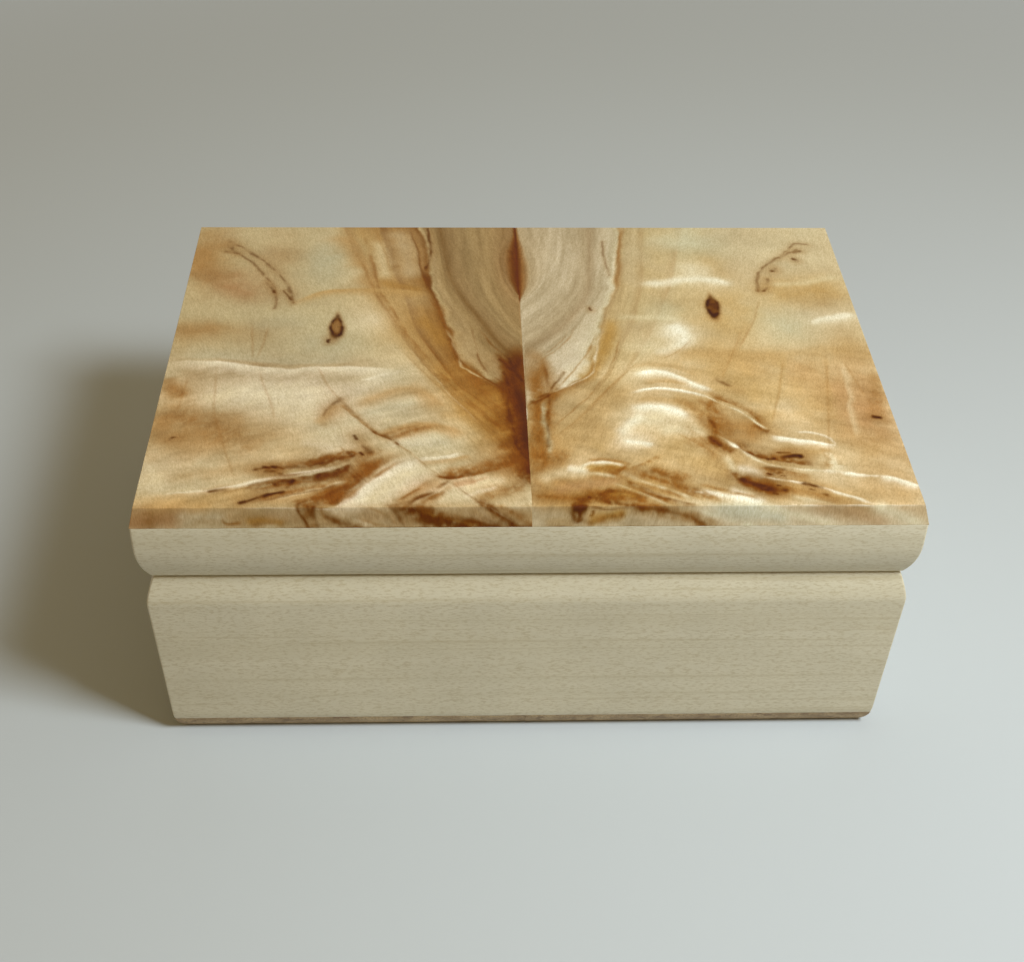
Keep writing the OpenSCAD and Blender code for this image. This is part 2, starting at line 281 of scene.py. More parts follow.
print("group", GRAIN.name)

# %% [markdown]
# Each wood chooses its own colours and keeps its own Principled shader. Boards that run front to back turn the
# grain with `along="Y"`, and `shift` moves the pattern, so that the lid doesn't repeat the box below it.

# %% Plain woods
def make_wood(name, light, dark, fleck, along="X", shift=(0, 0, 0), rough=0.48, contrast=1.0, coat=0.12,
              fibre=0.65):
    """Straight-grained wood: streaks carry the colour from light to dark, fibres add short flecks, a few growth lines
    run the whole length and the ripple lifts a faint shimmer."""
    material, tree, shader = new_material(name)
    grain = add(tree, "ShaderNodeGroup", node_tree=GRAIN)
    tree.links.new(place_mm(tree, along, shift), grain.inputs["Place"])
    tone = spread(tree, grain.outputs["Streak"], 0.5 - 0.22 / contrast, 0.5 + 0.22 / contrast)
    colour = blend(tree, tone, dark, light)
    flecks = spread(tree, grain.outputs["Fibre"], 0.54, 0.34)
    colour = blend(tree, maths(tree, "MULTIPLY", flecks, fibre * contrast), colour, fleck)
    colour = blend(tree, maths(tree, "MULTIPLY", grain.outputs["Line"], 0.55 * contrast), colour, fleck)
    shimmer = spread(tree, grain.outputs["Ripple"], 0.3, 0.7, 0.97, 1.03, False)
    lift = add(tree, "ShaderNodeCombineColor", {0: shimmer, 1: shimmer, 2: shimmer}).outputs[0]
    colour = blend(tree, 1.0, colour, lift, "MULTIPLY")
    tree.links.new(colour, shader.inputs["Base Color"])
    bump = add(tree, "ShaderNodeBump", {"Strength": 0.12, "Distance": 0.0002, "Height": grain.outputs["Height"]})
    tree.links.new(bump.outputs[0], shader.inputs["Normal"])
    set_values(shader, {"Roughness": rough, "Coat Weight": coat, "Coat Roughness": 0.3})
    return material


PALE = [srgb(217, 208, 184), srgb(205, 195, 168), srgb(188, 173, 138)]
SOFT_GRAIN = {"contrast": 0.6, "fibre": 1.15}
pale_long = make_wood("pale_wood_long", *PALE, **SOFT_GRAIN)
pale_side = make_wood("pale_wood_side", *PALE, along="Y", shift=(31, 7, 0), **SOFT_GRAIN)
lid_long = make_wood("pale_wood_lid_long", *PALE, shift=(140, 60, 35), **SOFT_GRAIN)
lid_side = make_wood("pale_wood_lid_side", *PALE, along="Y", shift=(90, 55, 35), **SOFT_GRAIN)
TRAY_TONES = [srgb(214, 186, 140), srgb(180, 146, 98), srgb(140, 104, 62)]
tray_long = make_wood("tray_wood_long", *TRAY_TONES, shift=(20, 200, 80), contrast=1.2)
tray_side = make_wood("tray_wood_side", *TRAY_TONES, along="Y", shift=(310, 40, 80), contrast=1.2)
brown_board = make_wood("brown_wood", srgb(196, 170, 128), srgb(152, 124, 86), srgb(112, 84, 52), along="Y",
                        shift=(0, 330, 20), rough=0.55, coat=0.05)
print("woods:", [m.name for m in bpy.data.materials if "wood" in m.name])

# %% [markdown]
# Felt has no grain. A fine noise gives its nap and its bump, a broad one its worn patches, and sheen lights its
# edges. Brass is brushed along the hinge, so one long noise shifts its colour and its roughness together.

# %% Felt and brass
felt, tree, shader = new_material("green_felt")
place = place_mm(tree)
nap = noise(tree, place, (0.9, 0.9, 0.9), 5.0, 0.75)
worn = noise(tree, place, (0.03, 0.03, 0.03))
colour = blend(tree, spread(tree, nap, 0.3, 0.7), srgb(30, 44, 34), srgb(58, 76, 58))
colour = blend(tree, spread(tree, worn, 0.35, 0.75, 0.0, 0.35), colour, srgb(66, 84, 64))
tree.links.new(colour, shader.inputs["Base Color"])
tree.links.new(add(tree, "ShaderNodeBump", {"Strength": 0.6, "Distance": 0.0004, "Height": nap}).outputs[0],
               shader.inputs["Normal"])
set_values(shader, {"Roughness": 0.95, "Specular IOR Level": 0.15, "Sheen Weight": 0.35, "Sheen Roughness": 0.5})

brass, tree, shader = new_material("satin_brass")
brushed = noise(tree, place_mm(tree), (0.4, 6.0, 6.0), 3.0, 0.6)
colour = blend(tree, spread(tree, brushed, 0.3, 0.7), srgb(186, 148, 78), srgb(214, 180, 108))
tree.links.new(colour, shader.inputs["Base Color"])
tree.links.new(spread(tree, brushed, 0.25, 0.75, 0.26, 0.42), shader.inputs["Roughness"])
set_values(shader, {"Metallic": 1.0})
print("materials:", len(bpy.data.materials))

# %% [markdown]
# ## Walls and rails
#
# A joiner would run the whole moulding in one length: a straight taper, rolled inward under the lid and rolled
# under at the foot. The length is then cut into four boards with 45 degree mitres and glued, so the profile
# turns each corner. Here the profile is a loop of `(s, z)` points.

# %% Profiles
def wall_loop():
    """Base wall: foot round, taper, top bevel, flat top and upright inner face, with eased arrises."""
    foot = round_face(FOOT_ROUND, np.linspace(BOTTOM_T + 0.3, TAPER_FOOT[1], 5))
    top = round_face(TOP_BEVEL, np.linspace(TAPER_BULGE[1], WALL_TOP - 1.4, 9))
    rim, low = round_face(TOP_BEVEL, np.array([WALL_TOP]))[0], round_face(FOOT_ROUND, np.array([BOTTOM_T]))[0]
    inner_top, inner_low = (WALL_T, WALL_TOP), (WALL_T, BOTTOM_T)
    return np.vstack([eased(inner_low, low, foot[0], 0.18, 3), foot, eased(foot[-1], top[0], top[2], 1.4), top[2:],
                      eased(top[-1], rim, inner_top, 1.1),
                      eased(rim, inner_top, inner_low, 0.5), eased(inner_top, inner_low, low, 0.1, 3)])


def rail_loop():
    """Lid rail: rolled underside, upright face, flat top and inner face, with eased arrises."""
    under = round_face(RAIL_ROUND, np.linspace(RAIL_BOTTOM + 0.7, RAIL_ROUND[1], 12))
    low, high = (RAIL_WAIST, RAIL_BOTTOM), (0.0, RAIL_TOP)
    inner_low, inner_high = (WALL_T, RAIL_BOTTOM), (WALL_T, RAIL_TOP)
    return np.vstack([eased(inner_low, low, under[0], 0.5), under, eased(under[-1], high, inner_high, 0.2, 3),
                      eased(high, inner_high, inner_low, 0.1, 3), eased(inner_high, inner_low, low, 0.5)])


def tray_loop():
    """Tray wall: a plain board with eased top and the groove that holds the floor."""
    low, high, in_high, in_low = (0, 0), (0, TRAY_H), (TRAY_T, TRAY_H), (TRAY_T, 0)
    bed = TRAY_T - GROOVE_DEEP
    groove = [(TRAY_T, GROOVE_HIGH), (bed, GROOVE_HIGH), (bed, GROOVE_LOW), (TRAY_T, GROOVE_LOW)]
    return np.vstack([eased(in_low, low, high, 0.4), eased(low, high, in_high, 0.9),
                      eased(high, in_high, in_low, 0.9), groove, eased(in_high, in_low, low, 0.4)])


print("profiles of", len(wall_loop()), len(rail_loop()), "and", len(tray_loop()), "points")

# %% [markdown]
# Each section of the sweep is the loop at one place along the board. The last sections follow a small rounded
# corner up to the mitre, because sanding eases the outer corner a little.

# %% Carry a profile along a mitred board
def mitred(loop, turn, run, half, thick, corner=0.9, along=None, drop=None):
    """Sections of one mitred board. A point at inset s stands `half - s` from the middle and runs to `run / 2 - s`,
    where a corner arc of radius `corner` (fading to nothing inside) carries it to the 45 degree mitre. `drop` lowers
    the upper part of the loop by a length that depends on the place along the board."""
    s, z = loop.T
    r = corner * np.clip(1 - s / thick, 0.02, 1)
    arc = np.radians(np.linspace(0, 45, 5))[:, None]
    end_x, end_y = run / 2 - s - r + r * np.sin(arc), half - s - r + r * np.cos(arc)
    middle = (np.linspace(-1, 1, 9)[1:-1] if along is None else along)[:, None] * np.ones_like(s)
    middle = middle * (run / 2 - s - r) if along is None else middle
    x = np.vstack([-end_x[::-1], middle, end_x])
    y = -np.vstack([end_y[::-1], np.repeat((half - s)[None], len(middle), 0), end_y])
    height = np.repeat(z[None], len(x), 0)
    if drop is not None:
        height = height - drop(x) * (z > TRAY_H / 2)
    return turned(np.stack([x, y, height], -1), turn)


def four_sides(width, depth):
    """Turn, length and half span of the four boards of a frame."""
    return {"front": (0, width, depth / 2), "right": (90, depth, width / 2),
            "back": (180, width, depth / 2), "left": (-90, depth, width / 2)}


for side, (turn, run, half) in four_sides(BOX_W, BOX_D).items():
    wood = (pale_long, lid_long) if run == BOX_W else (pale_side, lid_side)
    make_piece(f"wall_{side}", *carried(mitred(wall_loop(), turn, run, half, WALL_T)), "base", [f"base_{side}_wall"],
               "pale_wood", wood[0])
    make_piece(f"rail_{side}", *carried(mitred(rail_loop(), turn, run, half, WALL_T)), "lid", [f"lid_{side}_rail"],
               "pale_wood", wood[1])
print("walls and rails:", list(pieces))

# %% [markdown]
# ## Hinge mortises
#
# The stop hinges are let into the back wall and the back rail, so their leaves lie flush. A joiner chisels the
# seat and a hollow for the knuckles. One outline about the pin, extruded along the hinge, stands for all that
# waste, and a Boolean takes it out. The same outline turned upside down serves the rail.

# %% Cut the mortises
MORTISE = np.array([(-7.1, 0.9), (-7.1, -2.2), (-0.96, -2.2), (0, -2.4), (1.57, -3.57), (2.42, -2.93), (8, 0.9)])
MORTISE_SPARE = 0.1


def cut_mortises(piece, flip):
    """Take the hinge seats out of a board with a Boolean, then keep the result as the board's own mesh."""
    for x in (-HINGE_X, HINGE_X):
        ends = x + np.array([-1, 1])[:, None] * (HINGE_L / 2 + MORTISE_SPARE)
        y, z = PIN_Y + MORTISE[:, 0], PIN_Z + MORTISE[:, 1] * flip
        loops = np.stack(np.broadcast_arrays(ends, y[None], z[None]), -1)
        mesh = new_mesh("mortise", *carried(loops))
        cutter = bpy.data.objects.new("mortise", mesh)
        bpy.context.scene.collection.objects.link(cutter)
        cut = piece.modifiers.new("mortise", "BOOLEAN")
        cut.operation, cut.solver, cut.object = "DIFFERENCE", "EXACT", cutter
        bpy.context.view_layer.update()
        done = bpy.data.meshes.new_from_object(piece.evaluated_get(bpy.context.evaluated_depsgraph_get()))
        piece.modifiers.clear()
        old, piece.data = piece.data, done
        bpy.data.objects.remove(cutter)
        bpy.data.meshes.remove(mesh)
        bpy.data.meshes.remove(old)
    print(piece.name, "has", len(piece.data.polygons), "faces after its mortises")


cut_mortises(pieces["wall_back"], 1)
cut_mortises(pieces["rail_back"], -1)

# %% [markdown]
# ## Bottom boards
#
# Two brown boards meet at the middle and carry the walls. Their edges are rolled under to carry on the curve of
# the wall's foot, so the box seems to float on a thin dark line. The worked face is the lower one: its height
# is nothing except near the three outer edges, where it climbs along the foot round.

# %% Bottom boards
def foot_height(inset):
    """Height of the rolled foot at a given inset, and none once the round has reached the ground."""
    cs, cz, r = FOOT_ROUND
    return np.maximum(cz - np.sqrt(r * r - np.clip(cs - inset, 0, r) ** 2), 0)


THIN_EDGE = 0.15
edge = round_face(FOOT_ROUND, np.array([BOTTOM_T - THIN_EDGE]))[0, 0]
for side, sign in (("left", -1), ("right", 1)):
    fine = np.concatenate([np.linspace(0, 4, 12), np.linspace(6, 118, 29)])
    u = BOX_W / 2 - edge - fine[fine < BOX_W / 2 - edge]
    u = np.concatenate([[0.05], u[::-1]])
    half = BOX_D / 2 - edge
    v = np.concatenate([-half + fine[fine < half], (half - fine[fine < half])[::-1]])
    x, y = np.meshgrid(u, v, indexing="ij")
    lower = np.maximum.reduce([foot_height(BOX_W / 2 - x), foot_height(BOX_D / 2 - np.abs(y))])
    make_piece(f"bottom_{side}", *over_plan(sign * x, y, np.minimum(lower, BOTTOM_T - THIN_EDGE), BOTTOM_T), "base",
               [f"bottom_board_{side}"], "brown_wood", brown_board)
print("bottom boards rest on", round(float(edge), 2), "mm inset")

# %% [markdown]
# ## The figured top
#
# The lid's top is the reason for the box. Such figure grows in the fork of a tree: brown heartwood in the
# middle, a golden zone around it and cream sapwood outside, with silky folds where the grain curls. The two
# halves are laid side by side as mirror images, and small differences between them show that they are two real
# slices of one plank.
#
# Wood figure isn't random, so it is drawn in the order it grew. First come the *growth rings*: a few guide
# curves say how wide each ring is at each distance from the back edge, and every point gets a ring number
# between them. Then come broad *washes* of stain in the sapwood and *strokes*, bands that follow the crest of a
# fold: many are the figure's own lines, while the pale crests and the dark flanks beside them are painted
# highlight and painted shade on the silky folds. Last come knots, bark lines and cracks. Each is a whole-array
# function of place, and together they give one colour field, which is stored on the board as an attribute that
# the shader reads.
#
# Places on the top are `x` from the middle seam and `s` from the back edge, both in millimetres.

# %% Field helpers
def step(value, low, high):
    """Smooth rise from 0 at `low` to 1 at `high`."""
    t = np.clip((value - low) / (high - low), 0, 1)
    return t * t * (3 - 2 * t)


def lattice_noise(x, y, size, seed, octaves=3):
    """Smooth noise about zero: random numbers on a square lattice, blended by smoothstep, summed over octaves."""
    total, weight = np.zeros_like(x), 1.0
    for octave in range(octaves):
        table = np.random.default_rng(seed + 97 * octave).uniform(-1, 1, (64, 64))
        u, v = x / size * 2 ** octave + 11.3, y / size * 2 ** octave + 7.7
        i, j = np.floor(u).astype(int), np.floor(v).astype(int)
        f, g = u - i, v - j
        f, g = f * f * (3 - 2 * f), g * g * (3 - 2 * g)
        a, b = table[i % 64, j % 64], table[(i + 1) % 64, j % 64]
        c, d = table[i % 64, (j + 1) % 64], table[(i + 1) % 64, (j + 1) % 64]
        total += weight * ((a * (1 - f) + b * f) * (1 - g) + (c * (1 - f) + d * f) * g)
        weight *= 0.5
    return total


def crest(x, s, line):
    """Distance to a crest line, the side of it (plus towards the front) and the share of its length passed."""
    p = np.array(line, float)
    lengths = np.linalg.norm(np.diff(p, axis=0), axis=1)
    start = np.concatenate([[0], np.cumsum(lengths)])
    best, side, passed = np.full(x.shape, 1e9), np.zeros_like(x), np.zeros_like(x)
    for (ax, ay), (bx, by), length, before in zip(p[:-1], p[1:], lengths, start):
        ux, uy = (bx - ax) / length, (by - ay) / length
        t = np.clip((x - ax) * ux + (s - ay) * uy, 0, length)
        dx, dy = x - ax - t * ux, s - ay - t * uy
        d = np.hypot(dx, dy)
        near = d < best
        best = np.where(near, d, best)
        side = np.where(near, np.sign(dy * ux - dx * uy) * (1 if ux >= 0 else -1), side)
        passed = np.where(near, (before + t) / start[-1], passed)
    return best, side, passed


def smooth_line(line):
    """A crest line with its corners cut twice, so that it bends softly."""
    p = np.array(line, float)
    for _ in range(2):
        q = np.stack([0.75 * p[:-1] + 0.25 * p[1:], 0.25 * p[:-1] + 0.75 * p[1:]], 1).reshape(-1, 2)
        p = np.vstack([p[:1], q, p[-1:]])
    return p


def rings(u, s, guides):
    """Ring number of each point. A guide gives the half width of one ring against s, falling below nothing once the
    ring has closed; between two guides the number runs evenly, and outside the last it goes on at one per 15 mm."""
    at = np.arange(-20, 201.0)
    numbers, widths = list(guides), []
    bell = np.hanning(17)[1:-1] / np.hanning(17).sum()
    for line in guides.values():
        gs, gu = np.array(line, float).T
        w = np.interp(at, gs, gu) - np.maximum(at - gs[-1], 0) * 1.1
        widths.append(np.interp(s, at, np.convolve(np.pad(w, 7, "edge"), bell, "valid")))
    t = numbers[0] * np.clip(u / np.maximum(widths[0], 0.5), 0, 1)
    for k in range(1, len(numbers)):
        gap = np.maximum(widths[k] - widths[k - 1], 0.8)
        t = t + (numbers[k] - numbers[k - 1]) * np.clip((u - widths[k - 1]) / gap, 0, 1)
    return t + np.maximum(u - widths[-1], 0) / 15


print("field helpers ready")

# %% [markdown]
# The tables below describe the two halves. A ring guide is a list of `(s, half width)`, and a stop is
# `(ring number, colour)`. A wash is `(x, s, reach, reach, tilt, tone, strength)`. A stroke is
# `(crest line, width towards the back, width towards the front, tone, strength)`: a narrow side makes a crisp
# crest and a wide side makes a soft slope. A mark is `(line, width, strength)`, and a hair is a line alone. A
# knot is `(x, s, half width, half length, how full)`. Later rows lie over earlier ones.

# %% Tables of the figure
# The white and cream tones also serve as painted highlights on the fold crests and along the arris.
TONES = {
    "white": (255, 243, 216), "cream": (236, 218, 176), "grey": (206, 198, 164), "gold": (204, 164, 102),
    "amber": (178, 128, 54), "tan": (190, 148, 90), "pink": (186, 138, 90), "brown": (142, 90, 34),
    "umber": (100, 56, 14), "black": (54, 28, 6), "beige": (200, 172, 128),
}
RINGS_LEFT = {
    0.2: [(0, 1.2), (9, 2), (17, 5), (28, 6.6), (40, 5), (48, 2), (54, 0)],
    0.4: [(0, 12), (25, 11), (50, 8.7), (65, 4), (75, 0)],
    0.75: [(0, 30), (20, 28.5), (40, 26), (55, 21), (68, 14.5), (86, 7), (95, 0)],
    1.0: [(0, 38.7), (16.7, 34.5), (33.3, 34), (43.3, 33.3), (60, 28.7), (78.3, 25.3), (93.3, 22), (100, 18.7),
          (106.7, 10.3), (113.3, 6.2), (116.7, 0.7)],
    1.5: [(0, 53), (30, 48), (45, 44), (58, 41), (75, 37.8), (83, 34.5), (93, 30), (108, 22.8), (122, 13.7),
          (133, 5.3), (138, 0)],
    2.0: [(0, 68), (21, 62), (40, 56), (53, 52.8), (73, 45.3), (88, 38.7), (92, 37), (111, 27), (130, 17), (143, 7),
          (152, 0)],
}
STOPS_LEFT = [
    (0, (98, 52, 6)), (0.09, (128, 84, 38)), (0.17, (158, 122, 76)), (0.4, (172, 142, 94)), (0.55, (166, 138, 92)),
    (0.68, (152, 122, 78)), (0.75, (132, 102, 60)), (0.82, (168, 138, 90)), (0.93, (178, 150, 104)),
    (0.975, (204, 180, 132)), (1.02, (126, 84, 36)), (1.12, (150, 104, 46)), (1.35, (172, 128, 68)),
    (1.5, (146, 104, 54)), (1.55, (178, 136, 76)), (1.85, (192, 154, 94)), (2, (168, 128, 74)),
    (2.07, (200, 166, 110)), (2.35, (216, 194, 148)), (3, (214, 196, 152)),
]
WASHES_LEFT = [
    (-118.5, 23.5, 11.5, 25, 0, "tan", 0.85), (-103.5, 45, 15, 10, 20, "pink", 0.6),
    (-109.5, 73.5, 20, 6.5, 0, "tan", 0.7), (-115.5, 38.5, 10, 6.5, 0, "brown", 0.35),
    (-92, 21.5, 10, 10, 0, "beige", 0.5), (-122, 80, 6.5, 10, 0, "tan", 0.4), (-72, 25, 15, 20, 0, "grey", 0.85),
    (-63.5, 36.5, 10, 8.5, 0, "grey", 0.5), (-87, 70, 20, 11.5, 0, "grey", 0.6),
    (-70.5, 83.5, 25, 10, 0, "grey", 0.6), (-82, 10, 15, 10, 0, "cream", 0.4),
    (-105.5, 6.5, 13.5, 8.5, 0, "cream", 0.4), (-55.5, 38.5, 10, 18.5, 0, "tan", 0.5),
    (-58.5, 58.5, 10, 15, 0, "cream", 0.4), (-45.5, 75, 11.5, 15, 20, "gold", 0.5),
    (-80.5, 115, 38.5, 12.5, 6, "white", 0.7), (-105.5, 106.5, 20, 6.5, 0, "cream", 0.35),
    (-70.5, 123.5, 15, 11.5, 0, "cream", 0.6), (-92, 126.5, 18.5, 15, 0, "cream", 0.45),
    (-107, 135, 21.5, 11.5, -6, "brown", 0.5), (-92, 141.5, 18.5, 8.5, 0, "tan", 0.5),
    (-117, 155, 13.5, 11.5, 0, "cream", 0.55), (-92, 146.5, 18.5, 8.5, 0, "cream", 0.35),
    (-70.5, 145, 20, 7.5, -10, "gold", 0.6), (-100.5, 156.5, 21.5, 5, -8, "tan", 0.5),
    (-107, 173.5, 25, 4.5, -8, "gold", 0.9), (-118.5, 171.5, 10, 5, 0, "gold", 0.5),
    (-55.5, 70, 10, 7.5, 0, "white", 0.35), (-42, 123.5, 11.5, 5.5, -10, "grey", 0.75),
    (-32, 141.5, 11.5, 5, 0, "grey", 0.7), (-47, 103.5, 10, 4.5, -20, "grey", 0.5),
    (-53.5, 108.5, 8.5, 3.5, -25, "white", 0.5), (-18.5, 130, 8.5, 21.5, -28, "amber", 0.5),
    (-3, 138.5, 4.5, 21.5, 0, "umber", 0.7), (-10.5, 155, 10, 10, 0, "brown", 0.5),
    (-17, 160, 10, 4, -8, "cream", 0.7), (-23.5, 175, 11.5, 3, 0, "tan", 0.5),
    (-75.5, 168.5, 15, 4.5, -18, "tan", 0.6), (-118, 113.5, 10, 11.5, 0, "tan", 0.5),
    (-112, 138.5, 18.5, 12.5, 10, "tan", 0.55), (-120.5, 131.5, 6.5, 10, 0, "brown", 0.25),
    (-60.5, 138.5, 10, 11.5, 0, "grey", 0.6), (-64.5, 124, 4.5, 6.5, 0, "pink", 0.35),
    (-49.5, 154, 9.5, 4.5, -35, "brown", 0.6), (-54.5, 161, 4.5, 4, -50, "umber", 0.4),
    (-61.5, 168, 4.5, 4.5, -45, "brown", 0.7), (-34.5, 166.5, 9.5, 5, -38, "pink", 0.6),
    (-20.5, 166.5, 6, 6.5, 0, "cream", 0.55), (-10.5, 165, 8.5, 6.5, 0, "tan", 0.4),
    (-66.5, 158.5, 6.5, 2, -8, "umber", 0.6), (-6.5, 146.5, 6.5, 13.5, -8, "brown", 0.5),
    (-8.5, 133.5, 6.5, 11.5, -20, "amber", 0.4), (-50.5, 133.5, 4, 7.5, -35, "beige", 0.3),
    (-68, 148.5, 10, 4.5, -12, "beige", 0.4), (-57, 158.5, 6.5, 6.5, 0, "brown", 0.35),
    (-8.5, 160, 7.5, 5, 0, "tan", 0.5), (-38, 21.5, 10, 20, 0, "cream", 0.22),
    (-88.5, 21.5, 10, 18.5, 0, "tan", 0.25), (-100.5, 78.5, 21.5, 8.5, 0, "tan", 0.22),
    (-38.5, 55, 10, 8.5, 0, "cream", 0.25), (-87, 96, 33.5, 5, 3, "beige", 0.4),
    (-62, 141.5, 10, 8.5, 0, "cream", 0.3), (-113, 11, 18.5, 15, 0, "umber", 0.09),
    (-88, 11, 16.5, 15, 0, "umber", 0.09), (-88, 33.5, 16.5, 13.5, 0, "umber", 0.09),
    (-113, 55.5, 18.5, 13.5, 0, "umber", 0.06), (-88, 55.5, 16.5, 13.5, 0, "umber", 0.07),
    (-63, 55.5, 15, 11.5, 0, "umber", 0.08), (-113, 77.5, 18.5, 13.5, 0, "umber", 0.07),
    (-88, 77.5, 16.5, 13.5, 0, "umber", 0.09), (-113, 100, 18.5, 13.5, 0, "umber", 0.11),
    (-88, 100, 16.5, 13.5, 0, "umber", 0.12), (-63, 100, 15, 11.5, 0, "umber", 0.09),
    (-63, 122, 15, 11.5, 0, "umber", 0.08), (-38, 122, 13.5, 11.5, 0, "brown", 0.16),
    (-113, 144, 18.5, 13.5, 0, "umber", 0.09), (-63, 144, 13.5, 11.5, 0, "white", 0.16),
    (-38, 166.5, 13.5, 10, 0, "white", 0.24), (-88, 100, 25, 8.5, 0, "umber", 0.07),
    (-63, 106.5, 15, 15, 0, "umber", 0.06), (-88, 166.5, 11.5, 8.5, 0, "brown", 0.12),
    (-38, 166.5, 11.5, 7.5, -40, "white", 0.2), (-113, 100, 13.5, 10, 0, "umber", 0.06),
]
